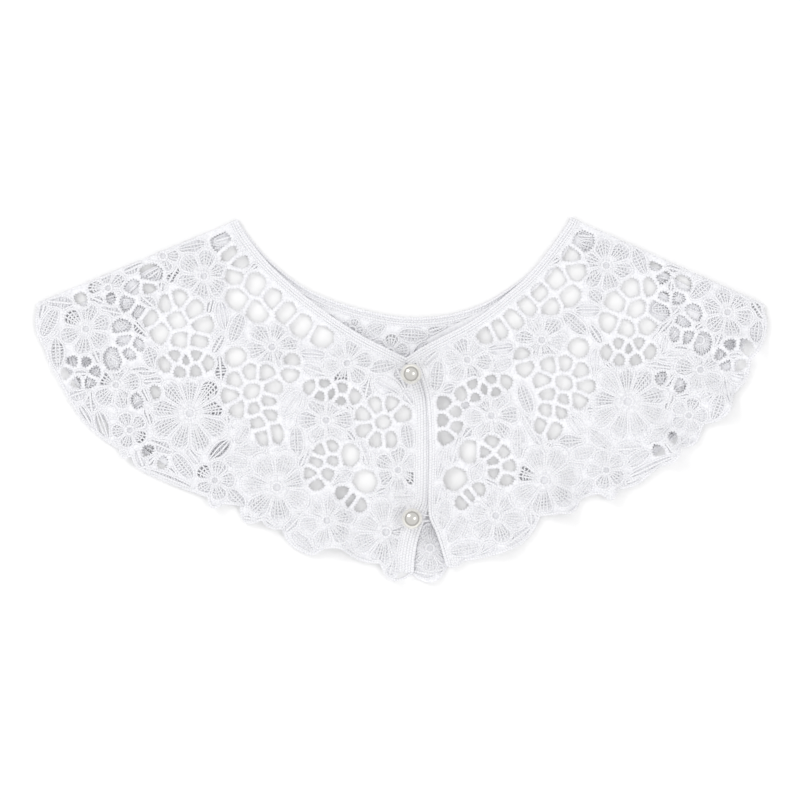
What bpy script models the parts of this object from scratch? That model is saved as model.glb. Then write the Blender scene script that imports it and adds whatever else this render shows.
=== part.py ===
# False collar of white guipure lace, laid flat on a surface and folded at the shoulders.
# The back half lies on the surface. The two fronts lie on it, closed by two pearl buttons.
# Sizes are in millimetres until a mesh is made in metres. +X is to the right, +Y towards the back neck.

import math

import bpy
import numpy as np
from mathutils import Vector
from mathutils.geometry import delaunay_2d_cdt

METRES = 0.001

# Driving sizes, in millimetres
COLLAR_WIDTH = 383.0
WALL = 1.2
SEAM_GAP = 0.3
FOLD_INNER_RADIUS = 0.9
FOLD_TAIL = 0.3
NECK_BAND_WIDTH = 4.6
FRONT_BAND_WIDTH = 2.8
PLACKET_WIDTH = 9.0
BAND_CORD = 0.4
PEARL_DIAMETER = 11.0
SHANK_DIAMETER = 2.6
SHANK_HEIGHT = 1.4
LOOP_CORD = 1.0
LOOP_RADIUS = 2.3
BAR_WIDTH = 2.2
GROUND_STEP = 1.0
FOLD_CLEARANCE = 3.0
SMALLEST_GAP = 4.2
LARGEST_GAP = 12.5
GAP_SIDES = 8
OUTLINE_STEP = 3.4
PETAL_RELIEF = 0.7
LEAF_RELIEF = 0.6

# Places are given in picture units, which the collar's width turns into millimetres
PICTURE_WIDTH = 737.0
PICTURE_MIDDLE = (400.04, 399.28)
UNIT = COLLAR_WIDTH / PICTURE_WIDTH

# Heights of the layers: the back, the left front on it, and the right front over the left one's edge
FRONT_LEVEL = WALL + SEAM_GAP
OVERLAP_RISE = WALL + BAND_CORD + 2 * SEAM_GAP
OVERLAP_FROM_X = 438.0
OVERLAP_TO_X = 470.0
FOLD_RADIUS = FOLD_INNER_RADIUS + WALL / 2

# Each shoulder fold runs straight from its outer end to the neck: (x, y)
FOLD_ENDS = {
    "left": ((40.0, 301.0), (237.0, 219.0)),
    "right": ((757.0, 300.0), (572.0, 217.0)),
}

# Edges that the neck bands follow, from the left to the right: (x, y)
BACK_NECK = ((237, 219), (250, 237), (270, 260), (300, 284), (330, 299), (370, 311), (408, 317),
             (450, 314), (490, 300), (530, 272), (551, 247), (572, 217))
LEFT_NECK = ((238, 221), (250, 240), (270, 264), (297, 289), (328, 313), (360, 334), (385, 347), (409, 359))
RIGHT_NECK = ((571, 219), (552, 246), (530, 273), (510, 291), (490, 308), (468, 323), (445, 335),
              (422, 347), (404, 359))

# Centre front edges, from the neck to the hem: (x, y)
LEFT_CENTRE = ((424, 372), (432, 400), (433, 450), (432, 498), (426, 517), (419, 536), (415, 556), (414, 573))
RIGHT_CENTRE = ((420, 366), (424, 380), (428, 402), (429, 450), (428, 500), (429, 517), (436, 533), (442, 552),
                (446, 566))

# Hem lobes, a row for each notch: (x, y, how far the lobe after it stands out)
LEFT_HEM = (
    (40, 301, 7), (45, 348, 2), (57, 375, 2), (85, 423, 2), (120, 449, 6), (132, 456, 2), (141, 470, 1.5),
    (208, 497, 8), (223, 504, -0.5), (240, 506, 11), (262, 520, 3.5), (282, 529, 4), (303, 552, 4),
    (322, 550, -3), (346, 551, 4), (380, 563, 13), (414, 573, 0),
)
RIGHT_HEM = (
    (757, 300, 7), (763, 342, 1), (750, 360, 2), (745, 382, 0), (733, 395, 9), (704, 424, 0), (698, 441, 3),
    (680, 446, 7), (660, 466, 0), (640, 483, 1.5), (618, 489, 8), (601, 494, -1.5), (580, 500, 6),
    (560, 513, 0.5), (540, 516, 3), (520, 545, 2.5), (463, 561, 3.5), (446, 566, 0),
)
BACK_HEM = (
    (52, 318, 3), (60, 350, 3), (82, 392, 3), (118, 430, 3), (160, 462, 3), (212, 482, 3), (262, 505, 3),
    (312, 535, 3), (362, 549, 3), (411, 574, 14), (449, 563, 3), (505, 537, 3), (548, 500, 3), (600, 480, 3),
    (648, 458, 3), (684, 426, 3), (718, 398, 3), (738, 362, 3), (748, 318, 0),
)

# Ripples of the fronts, lifted from the surface at the hem: (x, y, half width, height, reach inwards)
LEFT_RIPPLES = (
    (66, 372, 20, 2.0, 60), (130, 455, 22, 2.4, 70), (213, 505, 22, 2.6, 70), (268, 526, 20, 3.0, 70),
    (338, 548, 26, 5.5, 80), (392, 578, 16, 2.6, 60),
)
RIGHT_RIPPLES = (
    (752, 350, 20, 4.0, 60), (728, 408, 20, 5.0, 70), (676, 455, 20, 6.0, 75), (612, 495, 22, 3.5, 75),
    (562, 512, 18, 6.5, 70), (505, 546, 22, 3.0, 70),
)
RIPPLE_FOCUS = {"left": (300.0, 250.0), "right": (515.0, 245.0)}

# Flowers of the left front: (x, y, radius, petals, turn in degrees)
FLOWERS = (
    (190, 413, 44, 9, 10), (86, 329, 29, 6, 20), (62, 317, 25, 5, 40), (277, 487, 39, 7, 20),
    (326, 420, 30, 6, 0), (398, 470, 26, 6, 30), (327, 520, 31, 6, 15), (386, 532, 38, 7, 0),
    (215, 480, 22, 5, 0), (130, 430, 20, 5, 40), (116, 385, 27, 5, 10), (272, 347, 30, 6, 10),
    (204, 276, 30, 6, 20), (163, 256, 18, 5, 0), (108, 288, 22, 5, 30), (347, 363, 27, 6, 10),
)

# Leaves of the left front: (x, y, length, width, turn in degrees)
LEAVES = (
    (120, 306, 34, 11, 68), (137, 325, 38, 16, -45), (161, 290, 32, 14, 85), (198, 348, 46, 14, -35),
    (216, 348, 34, 10, 60), (230, 364, 40, 12, 12), (150, 354, 32, 18, -70), (150, 371, 50, 11, 0),
    (103, 426, 36, 16, -70), (77, 394, 28, 18, 20), (84, 413, 36, 9, -60), (170, 463, 58, 14, -32),
    (172, 480, 60, 9, -22), (243, 463, 42, 16, -10), (246, 428, 40, 14, 60), (286, 437, 46, 13, 62),
    (387, 388, 34, 22, -30), (363, 452, 32, 13, -70), (318, 372, 36, 16, -20), (134, 268, 26, 14, 25),
)

# Patches of open ground net in the left front: (x, y, half length, half width, turn in degrees, gap spacing)
GROUND = (
    (231, 248, 28, 15, -58, 21), (254, 290, 34, 28, -45, 24), (304, 323, 37, 14, -33, 23),
    (176, 320, 40, 28, -30, 22), (139, 298, 20, 17, 60, 15), (186, 363, 27, 13, 0, 16),
    (252, 391, 31, 26, 30, 19), (267, 426, 24, 14, -70, 17), (291, 368, 14, 9, 80, 15),
    (384, 422, 29, 25, 0, 17), (332, 392, 29, 10, -12, 16), (322, 465, 26, 14, 65, 17),
    (348, 455, 11, 11, 0, 20), (365, 482, 20, 12, -50, 40), (351, 499, 17, 8, -35, 12),
    (81, 372, 19, 15, -20, 14), (128, 340, 22, 12, -60, 18), (113, 358, 12, 8, 90, 20),
    (146, 396, 15, 8, 25, 12), (131, 414, 15, 9, 0, 40), (236, 357, 10, 9, 0, 20),
    (95, 298, 20, 8, 0, 13), (151, 274, 11, 9, 0, 20), (155, 457, 14, 7, -40, 14),
    (408, 436, 14, 9, 90, 14),
)

# The right front has the same motifs, mirrored about the middle and turned up a little
MIRROR_X = 408.5
MIRROR_PIVOT = (408.5, 420.0)
MIRROR_TURN = 3.0
MIRROR_STRETCH = 1.005

# The back's gaps: only the largest are cut, within this distance of the middle
BACK_GAPS = 84
BACK_GAPS_HALF_WIDTH = 132.0

# Buttons: (x, y), and where the loops leave the right front's edge
PEARLS = {"upper": (411.0, 374.0), "lower": (412.0, 518.0)}

WHITE_THREAD = (0.90, 0.90, 0.92, 1.0)
PEARL_WHITE = (0.88, 0.87, 0.83, 1.0)


def place(points):
    # Picture units to millimetres in the plan, with Y upwards
    points = np.asarray(points, float)
    x = (points[..., 0] - PICTURE_MIDDLE[0]) * UNIT
    y = (PICTURE_MIDDLE[1] - points[..., 1]) * UNIT
    return np.stack([x, y], axis=-1)


def smooth_step(value):
    value = np.clip(value, 0.0, 1.0)
    return value * value * (3.0 - 2.0 * value)


def fold_of(side):
    # The line where a front starts to roll: a point on it, and the direction towards the front
    start, end = place(FOLD_ENDS[side])
    along = (end - start) / np.linalg.norm(end - start)
    inward = np.array([along[1], -along[0]])
    if inward[1] > 0:
        inward = -inward
    return start + inward * (FOLD_INNER_RADIUS + WALL), inward


def past_fold(side, plan):
    # Distance from the fold's line, negative on the part that rolls down
    start, inward = fold_of(side)
    return (plan - start) @ inward


def ripples(side, plan):
    # Each ripple is a soft ridge from the hem towards the neck, highest at the hem
    rows = LEFT_RIPPLES if side == "left" else RIGHT_RIPPLES
    focus = place(RIPPLE_FOCUS[side])
    lift = np.zeros(len(plan))
    for x, y, half_width, height, reach in rows:
        hem = place((x, y))
        direction = (focus - hem) / np.linalg.norm(focus - hem)
        inwards = np.clip((plan - hem) @ direction, 0.0, None)
        across = np.abs((plan - hem) @ np.array([-direction[1], direction[0]]))
        ridge = np.cos(np.clip(across / (half_width * UNIT), 0.0, 1.0) * math.pi / 2) ** 2
        lift = np.maximum(lift, height * ridge * smooth_step(1.0 - inwards / (reach * UNIT)))
    return lift * smooth_step(past_fold(side, plan) / 14.0)


def underside(side, plan):
    # Height of a front's lower surface over the surface that the collar lies on
    level = np.full(len(plan), FRONT_LEVEL) + ripples(side, plan)
    if side == "right":
        start, end = place((OVERLAP_TO_X, 0.0))[0], place((OVERLAP_FROM_X, 0.0))[0]
        level += OVERLAP_RISE * smooth_step((start - plan[:, 0]) / (start - end))
    return level


def lay_front(side, plan, height):
    # A point of the flat cut lies over the ripples, or rolls down round the fold past its line
    start, inward = fold_of(side)
    past = (plan - start) @ inward
    level = underside(side, plan)
    turn = np.clip(-past / FOLD_RADIUS, 0.0, math.pi / 2)
    tail = np.clip(-past - FOLD_RADIUS * math.pi / 2, 0.0, None)
    radius = FOLD_INNER_RADIUS + height
    rolled = past < 0
    shift = np.where(rolled, -past - radius * np.sin(turn), 0.0)
    z = np.where(rolled, level - FOLD_INNER_RADIUS + radius * np.cos(turn) - tail, level + height)
    return np.column_stack([plan + inward * shift[:, None], z])


def lay_back(plan, height):
    return np.column_stack([plan, height])


def curve(points, step=OUTLINE_STEP):
    # A smooth curve through the points, in even steps
    ends = [2 * points[0] - points[1], *points, 2 * points[-1] - points[-2]]
    dense = []
    for before, start, end, after in zip(ends, ends[1:], ends[2:], ends[3:]):
        t = np.linspace(0.0, 1.0, 12, endpoint=False)[:, None]
        dense.append(0.5 * (2 * start + (end - before) * t + (2 * before - 5 * start + 4 * end - after) * t ** 2
                            + (3 * start - before - 3 * end + after) * t ** 3))
    dense = np.vstack(dense + [points[-1][None]])
    lengths = np.concatenate([[0.0], np.cumsum(np.linalg.norm(np.diff(dense, axis=0), axis=1))])
    count = max(2, round(lengths[-1] / step))
    stops = np.linspace(0.0, lengths[-1], count + 1)
    return np.column_stack([np.interp(stops, lengths, dense[:, k]) for k in range(2)])


def sideways(path):
    # Unit normals of a path, to its right
    along = np.gradient(path, axis=0)
    along /= np.linalg.norm(along, axis=1)[:, None]
    return np.column_stack([along[:, 1], -along[:, 0]])


def lobes(rows, outward=1.0):
    # A hem: between two notches the edge swells out as a parabola
    points = []
    for (x, y, swell), (next_x, next_y, _) in zip(rows, rows[1:]):
        start, end = place((x, y)), place((next_x, next_y))
        chord = end - start
        length = np.linalg.norm(chord)
        count = max(2, round(length / OUTLINE_STEP)) if abs(swell) > 0.8 else max(1, round(length / 8.0))
        t = np.arange(count) / count
        normal = np.array([chord[1], -chord[0]]) / length
        points.append(start + chord * t[:, None] + normal * (swell * outward * UNIT * 4 * t * (1 - t))[:, None])
    return np.vstack(points + [place(rows[-1][:2])[None]])


def inside(points, loop):
    # Even-odd test of many points against a closed loop
    nexts = np.roll(loop, -1, axis=0)
    x, y = points[:, 0][:, None], points[:, 1][:, None]
    crosses = (loop[:, 1] > y) != (nexts[:, 1] > y)
    rise = np.where(nexts[:, 1] == loop[:, 1], 1e-12, nexts[:, 1] - loop[:, 1])
    where = loop[:, 0] + (y - loop[:, 1]) / rise * (nexts[:, 0] - loop[:, 0])
    return (crosses & (x < where)).sum(axis=1) % 2 == 1


def distance_to_loop(points, loop):
    # Shortest distance from each point to a closed loop
    nexts = np.roll(loop, -1, axis=0)
    edges = nexts - loop
    best = np.full(len(points), np.inf)
    for start, edge in zip(loop, edges):
        t = np.clip(((points - start) @ edge) / max(edge @ edge, 1e-9), 0.0, 1.0)
        best = np.minimum(best, np.linalg.norm(points - start - t[:, None] * edge, axis=1))
    return best


def to_right(x, y):
    # A place on the left front to its mirrored place on the right front
    turn = math.radians(MIRROR_TURN)
    dx = (2 * MIRROR_X - x - MIRROR_PIVOT[0]) * MIRROR_STRETCH
    dy = y - MIRROR_PIVOT[1]
    return (MIRROR_PIVOT[0] + dx * math.cos(turn) + dy * math.sin(turn),
            MIRROR_PIVOT[1] - dx * math.sin(turn) + dy * math.cos(turn))


def motifs(side):
    # Flowers and leaves of one front: centre, then radius, petals and turn, or length, width and turn
    flowers, leaves = [], []
    for x, y, radius, petals, turn in FLOWERS:
        if side == "right":
            (x, y), turn = to_right(x, y), 180 - turn + MIRROR_TURN
        flowers.append((place((x, y)), radius * UNIT, petals, math.radians(turn)))
    for x, y, length, width, turn in LEAVES:
        if side == "right":
            (x, y), turn = to_right(x, y), 180 - turn + MIRROR_TURN
        leaves.append((place((x, y)), length * UNIT, width * UNIT, math.radians(turn)))
    return flowers, leaves


def ground(side):
    # Patches of open net: centre, half length, half width, turn and the spacing of their gaps
    patches = []
    for x, y, half_length, half_width, turn, spacing in GROUND:
        if side == "right":
            (x, y), turn = to_right(x, y), 180 - turn + MIRROR_TURN
        patches.append((place((x, y)), half_length * UNIT, half_width * UNIT, math.radians(turn), spacing * UNIT))
    return patches


def room_in(points, patch):
    # How far each point is inside a patch, which is an oval
    centre, half_length, half_width, turn, _ = patch
    arm = points - centre
    u = (arm[:, 0] * math.cos(turn) + arm[:, 1] * math.sin(turn)) / half_length
    v = (arm[:, 1] * math.cos(turn) - arm[:, 0] * math.sin(turn)) / half_width
    return (1.0 - np.hypot(u, v)) * half_width


def ground_gaps(side, loop):
    # Gaps of the ground net: centres spread over each patch, each grown until only its bars are left
    patches = ground(side)
    centres, spacings = np.zeros((0, 2)), []
    for patch in patches:
        middle, half_length, half_width, turn, spacing = patch
        span = np.arange(-half_length, half_length + GROUND_STEP / 2, GROUND_STEP)
        u, v = (axis.ravel() for axis in np.meshgrid(span, span))
        grid = middle + np.column_stack([u * math.cos(turn) - v * math.sin(turn),
                                         u * math.sin(turn) + v * math.cos(turn)])
        grid = grid[(room_in(grid, patch) > 0.0) & inside(grid, loop)]
        grid = grid[(distance_to_loop(grid, loop) > BAR_WIDTH + 1.0) & (past_fold(side, grid) > FOLD_CLEARANCE)]
        seeds = []
        for spot in grid[np.argsort(np.linalg.norm(grid - middle, axis=1), kind="stable")]:
            others = np.vstack([centres] + [s[None] for s in seeds])
            if not len(others) or np.linalg.norm(others - spot, axis=1).min() > spacing * 0.86:
                seeds.append(spot)
        seeds = np.array(seeds).reshape(-1, 2)
        for _ in range(3):
            if len(seeds):
                nearest = np.linalg.norm(grid[:, None] - seeds[None], axis=2).argmin(axis=1)
                seeds = np.array([grid[nearest == k].mean(axis=0) for k in range(len(seeds)) if (nearest == k).any()])
        centres = np.vstack([centres, seeds])
        spacings += [spacing] * len(seeds)
    return grow_gaps(side, centres, patches, loop)


def grow_gaps(side, centres, patches, loop):
    # Rays from each centre end at the patches' rim, at the panel's edge or half a bar before the next gap
    steps = np.arange(0.0, LARGEST_GAP / 2, 0.3)
    gaps = []
    for k, centre in enumerate(centres):
        angles = 2 * math.pi * (np.arange(GAP_SIDES) + 0.5 * (k % 2)) / GAP_SIDES
        rays = np.column_stack([np.cos(angles), np.sin(angles)])
        walk = (centre + rays[:, None] * steps[None, :, None]).reshape(-1, 2)
        room = np.max([room_in(walk, patch) for patch in patches], axis=0)
        room = np.minimum(room, distance_to_loop(walk, loop) - BAR_WIDTH)
        room = np.minimum(room, past_fold(side, walk) - FOLD_CLEARANCE / 2).reshape(GAP_SIDES, -1)
        blocked = room < 0.0
        reach = np.where(blocked.any(axis=1), steps[blocked.argmax(axis=1)], steps[-1])
        apart = np.linalg.norm(centres - centre, axis=1)
        for other, distance in zip(centres, apart):
            if 0.1 < distance < 2 * LARGEST_GAP:
                facing = rays @ (other - centre) / distance
                bar = (distance / 2 - BAR_WIDTH / 2) / np.maximum(facing, 0.15)
                reach = np.where(facing > 0.15, np.minimum(reach, bar), reach)
        reach = np.minimum(reach, 0.5 * (np.roll(reach, 1) + np.roll(reach, -1)) + 1.0)
        across = reach + np.roll(reach, GAP_SIDES // 2)
        if across.min() > SMALLEST_GAP * 0.7 and across.mean() > SMALLEST_GAP and reach.min() > 0.8:
            gaps.append(centre + rays * reach[:, None])
    return gaps


def roll_corner(side, point):
    # The rows of a front's edge that roll down past the fold, outermost last
    start, inward = fold_of(side)
    on_line = point - inward * ((point - start) @ inward)
    depth = FOLD_RADIUS * math.pi / 2
    return [on_line - inward * (depth * part) for part in (0.0, 1 / 3, 2 / 3, 1.0)] + [
        on_line - inward * (depth + FOLD_TAIL)]


def front_outline(side):
    # Closed loop of a front's flat cut, inside its neck band and front band
    hem = lobes(LEFT_HEM) if side == "left" else lobes(RIGHT_HEM, -1.0)
    neck = curve(place(LEFT_NECK if side == "left" else RIGHT_NECK))
    centre = curve(place(LEFT_CENTRE if side == "left" else RIGHT_CENTRE), 5.0)
    toward_panel = 1.0 if side == "left" else -1.0
    neck = neck + sideways(neck) * toward_panel * (NECK_BAND_WIDTH + SEAM_GAP)
    band = PLACKET_WIDTH if side == "left" else FRONT_BAND_WIDTH
    centre = centre + sideways(centre) * toward_panel * (band + SEAM_GAP)
    hem = hem[past_fold(side, hem) > 1.0]
    neck = neck[past_fold(side, neck) > 1.0]
    limit = centre[0]
    neck = neck[(neck[:, 0] < limit[0] - 1.5) if side == "left" else (neck[:, 0] > limit[0] + 1.5)]
    hem = hem[(hem[:, 0] < centre[-1][0] - 1.5) if side == "left" else (hem[:, 0] > centre[-1][0] + 1.5)]
    hem_end = roll_corner(side, hem[0])
    neck_end = roll_corner(side, neck[0])
    return hem, neck, centre, hem_end, neck_end


def solid(name, vertices, faces, colour, roughness):
    # A closed mesh in metres with its own material
    mesh = bpy.data.meshes.new(name)
    mesh.from_pydata((np.asarray(vertices) * METRES).tolist(), [], faces)
    mesh.validate()
    material = bpy.data.materials.new(name)
    material.use_nodes = True
    shader = material.node_tree.nodes["Principled BSDF"]
    shader.inputs["Base Color"].default_value = colour
    shader.inputs["Roughness"].default_value = roughness
    shader.inputs["Metallic"].default_value = 0.0
    mesh.materials.append(material)
    thing = bpy.data.objects.new(name, mesh)
    bpy.context.scene.collection.objects.link(thing)
    return thing


def triangulate(points, loops, lines=()):
    # Triangles between the first loop and the others, which are gaps
    edges, start = [], 0
    for loop in loops:
        count = len(loop)
        edges += [(start + k, start + (k + 1) % count) for k in range(count)]
        start += count
    result = delaunay_2d_cdt([Vector(p) for p in points], edges + list(lines), [], 0, 1e-6)
    flat = np.array([tuple(v) for v in result[0]])
    if len(flat) != len(points):
        raise ValueError("two points of a panel fall together")
    source = np.array([first[0] for first in result[3]])
    corners = np.array([tuple(face) for face in result[2]])
    middles = flat[corners].mean(axis=1)
    keep = inside(middles, loops[0])
    for gap in loops[1:]:
        keep &= ~inside(middles, gap)
    corners = source[corners[keep]]
    a, b, c = (np.asarray(points)[corners[:, k]] for k in range(3))
    turned = np.cross(b - a, c - a) < 0
    corners[turned] = corners[turned][:, ::-1]
    return corners.tolist()


def lace_panel(name, loop, gaps, lay, top_points, top_heights, base_points, lines=()):
    # A wall with its gaps cut through: raised points on top, a plain inside, and rims round every edge
    rims = np.vstack([loop] + gaps)
    loops = [loop] + gaps
    top_plan = np.vstack([rims, base_points, top_points])
    base_plan = np.vstack([rims, base_points])
    heights = np.concatenate([np.full(len(base_plan), WALL), WALL + top_heights])
    top = triangulate(top_plan, loops, lines)
    base = triangulate(base_plan, loops, lines)
    upper = lay(top_plan, heights)
    lower = lay(base_plan, np.zeros(len(base_plan)))
    shift = len(upper)
    faces = [tuple(face) for face in top]
    faces += [tuple(shift + k for k in reversed(face)) for face in base]
    start = 0
    for number, ring in enumerate(loops):
        count = len(ring)
        area = np.sum(ring[:, 0] * np.roll(ring[:, 1], -1) - np.roll(ring[:, 0], -1) * ring[:, 1])
        outward = (area > 0) == (number == 0)
        for k in range(count):
            a, b = start + k, start + (k + 1) % count
            if outward:
                faces += [(a, shift + a, shift + b), (a, shift + b, b)]
            else:
                faces += [(b, shift + b, shift + a), (b, shift + a, a)]
        start += count
    return solid(name, np.vstack([upper, lower]), faces, WHITE_THREAD, 0.8)


def spread(points, apart, taken):
    # Keeps the points that stand clear of the ones already kept
    kept = [tuple(p) for p in taken]
    picked = []
    for index, point in enumerate(points):
        if all(math.dist(point, other) > apart for other in kept):
            kept.append(tuple(point))
            picked.append(index)
    return picked


def relief_points(side):
    # Raised points of the motifs: petal middles, the dips between petals, and leaf ribs
    flowers, leaves = motifs(side)
    spots, heights = [], []
    for centre, radius, petals, turn in flowers:
        spots.append(centre)
        heights.append(0.1)
        for k in range(petals):
            for part, distance, height in ((0.0, 0.55, 1.0), (0.5, 0.62, 0.0)):
                angle = turn + 2 * math.pi * (k + part) / petals
                spots.append(centre + radius * distance * np.array([math.cos(angle), math.sin(angle)]))
                heights.append(PETAL_RELIEF * height)
    for centre, length, width, turn in leaves:
        for part in (-0.28, 0.0, 0.28):
            spots.append(centre + part * length * np.array([math.cos(turn), math.sin(turn)]))
            heights.append(LEAF_RELIEF)
    return np.array(spots), np.array(heights)


def build_front(side):
    hem, neck, centre, hem_end, neck_end = front_outline(side)
    loop = np.vstack([np.array(hem_end[::-1]), hem, centre[::-1], neck[::-1], np.array(neck_end)])
    if side == "right":
        loop = loop[::-1]
    gaps = ground_gaps(side, loop)
    count = len(loop)
    rows = len(hem_end)
    # The fold's rows are joined across, so that the roll bends in clean strips
    lines = [(k, count - 1 - k) for k in range(1, rows)]
    x, y = np.meshgrid(np.arange(-190.0, 190.0, 9.0), np.arange(-95.0, 95.0, 9.0))
    grid = np.column_stack([x.ravel(), y.ravel()])
    grid = grid[inside(grid, loop) & (past_fold(side, grid) > 4.0)]
    grid = grid[(ripples(side, grid) > 0.25) | (underside(side, grid) > FRONT_LEVEL + 0.2)]
    rims = np.vstack([loop] + gaps)
    edge_room = np.array([np.linalg.norm(rims - p, axis=1).min() for p in grid])
    grid = grid[edge_room > 2.5]
    grid = grid[[not any(inside(p[None], gap)[0] for gap in gaps) for p in grid]]
    spots, heights = relief_points(side)
    usable = inside(spots, loop) & (past_fold(side, spots) > 3.0) & (distance_to_loop(spots, loop) > 1.5)
    limit = place((402.0, 0.0))[0] if side == "left" else place((432.0, 0.0))[0]
    usable &= (spots[:, 0] < limit) if side == "left" else (spots[:, 0] > limit)
    spots, heights = spots[usable], heights[usable]
    picked = spread(spots, 2.0, np.vstack([rims, grid]))
    return lace_panel("front_" + side, loop, gaps, lambda plan, height: lay_front(side, plan, height),
                      spots[picked], heights[picked], grid, lines), gaps


def build_back(gaps):
    # The back lies flat. Its hidden ends stay whole, and its gaps lie under the ones of the fronts
    neck = curve(place(BACK_NECK))
    neck = neck + sideways(neck) * (NECK_BAND_WIDTH + SEAM_GAP)
    hem = lobes(BACK_HEM)
    loop = np.vstack([hem, neck[::-1]])
    clear = np.minimum(past_fold("left", loop), past_fold("right", loop)) > SEAM_GAP
    loop = loop[clear]
    chosen = []
    for gap in sorted(gaps, key=lambda g: -np.ptp(g, axis=0).sum()):
        middle = gap.mean(axis=0)
        wider = middle + (gap - middle) * 1.08
        if abs(middle[0]) > BACK_GAPS_HALF_WIDTH or not inside(wider, loop).all():
            continue
        if distance_to_loop(wider, loop).min() < BAR_WIDTH * 0.6:
            continue
        if min(past_fold("left", wider).min(), past_fold("right", wider).min()) < 6.0:
            continue
        if any(np.linalg.norm(wider[:, None] - other[None], axis=2).min() < 1.0 or inside(middle[None], other)[0]
               for other in chosen):
            continue
        if len(chosen) < BACK_GAPS:
            chosen.append(wider)
    none = np.zeros((0, 2))
    return lace_panel("back_panel", loop, chosen, lay_back, none, np.zeros(0), none)


def band(name, path, width, toward, lay, cord):
    # A flat braid with two raised cords, swept along its edge
    profile = ((0.0, 0.0), (0.0, WALL * 0.8), (0.2, WALL + cord), (0.5, WALL * 0.95), (0.8, WALL + cord),
               (1.0, WALL * 0.8), (1.0, 0.0))
    normals = sideways(path) * toward
    rings = [lay(path + normals * (across * width), np.full(len(path), height)) for across, height in profile]
    count, sides = len(path), len(profile)
    vertices = np.stack(rings, axis=1).reshape(-1, 3)
    faces = []
    for i in range(count - 1):
        for j in range(sides):
            a, b = i * sides + j, i * sides + (j + 1) % sides
            quad = (a, b, b + sides, a + sides)
            faces.append(quad if toward > 0 else quad[::-1])
    last = (count - 1) * sides
    first_cap = [(0, k + 1, k) for k in range(1, sides - 1)]
    last_cap = [(last, last + k, last + k + 1) for k in range(1, sides - 1)]
    if toward < 0:
        first_cap = [face[::-1] for face in first_cap]
        last_cap = [face[::-1] for face in last_cap]
    return solid(name, vertices, faces + first_cap + last_cap, WHITE_THREAD, 0.75)


def front_path(side, points, step):
    # A front's edge, carried on round the fold
    path = curve(place(points), step)
    path = path[past_fold(side, path) > 1.0]
    return np.vstack([np.array(roll_corner(side, path[0]))[::-1], path])


def build_bands():
    back = curve(place(BACK_NECK), 5.0)
    clear = np.minimum(past_fold("left", back), past_fold("right", back)) > SEAM_GAP
    band("neck_band_back", back[clear], NECK_BAND_WIDTH, 1.0, lay_back, 0.0)
    for side, points, toward in (("left", LEFT_NECK, 1.0), ("right", RIGHT_NECK, -1.0)):
        path = front_path(side, points, 5.0)
        band("neck_band_" + side, path, NECK_BAND_WIDTH, toward,
             lambda plan, height, side=side: lay_front(side, plan, height), BAND_CORD)
    for side, points, width, toward in (("left", LEFT_CENTRE, PLACKET_WIDTH, 1.0),
                                        ("right", RIGHT_CENTRE, FRONT_BAND_WIDTH, -1.0)):
        path = curve(place(points), 5.0)[1:]
        band("front_edge_" + side, path, width, toward,
             lambda plan, height, side=side: lay_front(side, plan, height), 0.2)


def build_pearl(name, spot):
    # A ball on a short shank, turned about its own upright axis
    x, y = place(spot)
    foot = FRONT_LEVEL + WALL + SEAM_GAP + 0.2
    radius = PEARL_DIAMETER / 2
    middle = foot + SHANK_HEIGHT + radius
    neck_angle = math.asin(SHANK_DIAMETER / PEARL_DIAMETER)
    sides, rows = 20, 10
    profile = [(SHANK_DIAMETER / 2, foot)]
    for k in range(rows):
        angle = neck_angle + (math.pi - neck_angle) * k / rows
        profile.append((radius * math.sin(angle), middle - radius * math.cos(angle)))
    turn = 2 * math.pi * np.arange(sides) / sides
    vertices = [(x + r * math.cos(a), y + r * math.sin(a), z) for r, z in profile for a in turn]
    vertices += [(x, y, foot), (x, y, middle + radius)]
    faces = []
    for i in range(len(profile) - 1):
        for j in range(sides):
            a, b = i * sides + j, i * sides + (j + 1) % sides
            faces.append((a, b, b + sides, a + sides))
    last = (len(profile) - 1) * sides
    for j in range(sides):
        faces.append((len(vertices) - 2, (j + 1) % sides, j))
        faces.append((len(vertices) - 1, last + j, last + (j + 1) % sides))
    pearl = solid(name, vertices, faces, PEARL_WHITE, 0.15)
    pearl.data.shade_smooth()
    return pearl


def build_loop(name, spot):
    # A thread loop from the right front's edge round the button's shank and back
    x, y = place(spot)
    edge = curve(place(RIGHT_CENTRE), 5.0)
    edge_x = np.interp(-y, -edge[:, 1], edge[:, 0]) - SEAM_GAP - LOOP_CORD / 2
    z = FRONT_LEVEL + WALL + SEAM_GAP + LOOP_CORD / 2
    turn = np.linspace(-math.pi * 0.62, math.pi * 0.62, 11) + math.pi
    ring = np.column_stack([x + LOOP_RADIUS * np.cos(turn), y - LOOP_RADIUS * np.sin(turn)])[::-1]
    path = np.vstack([[edge_x, ring[0, 1] * 0.6 + y * 0.4], ring, [edge_x, ring[-1, 1] * 0.6 + y * 0.4]])
    normals = sideways(path)
    sides = 6
    vertices, faces = [], []
    for point, normal in zip(path, normals):
        for k in range(sides):
            angle = 2 * math.pi * k / sides
            offset = normal * math.cos(angle) * LOOP_CORD / 2
            vertices.append((point[0] + offset[0], point[1] + offset[1], z + math.sin(angle) * LOOP_CORD / 2))
    for i in range(len(path) - 1):
        for j in range(sides):
            a, b = i * sides + j, i * sides + (j + 1) % sides
            faces.append((a, a + sides, b + sides, b))
    last = (len(path) - 1) * sides
    faces.append(tuple(range(sides)))
    faces.append(tuple(reversed(range(last, last + sides))))
    return solid(name, vertices, faces, WHITE_THREAD, 0.7)


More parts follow.
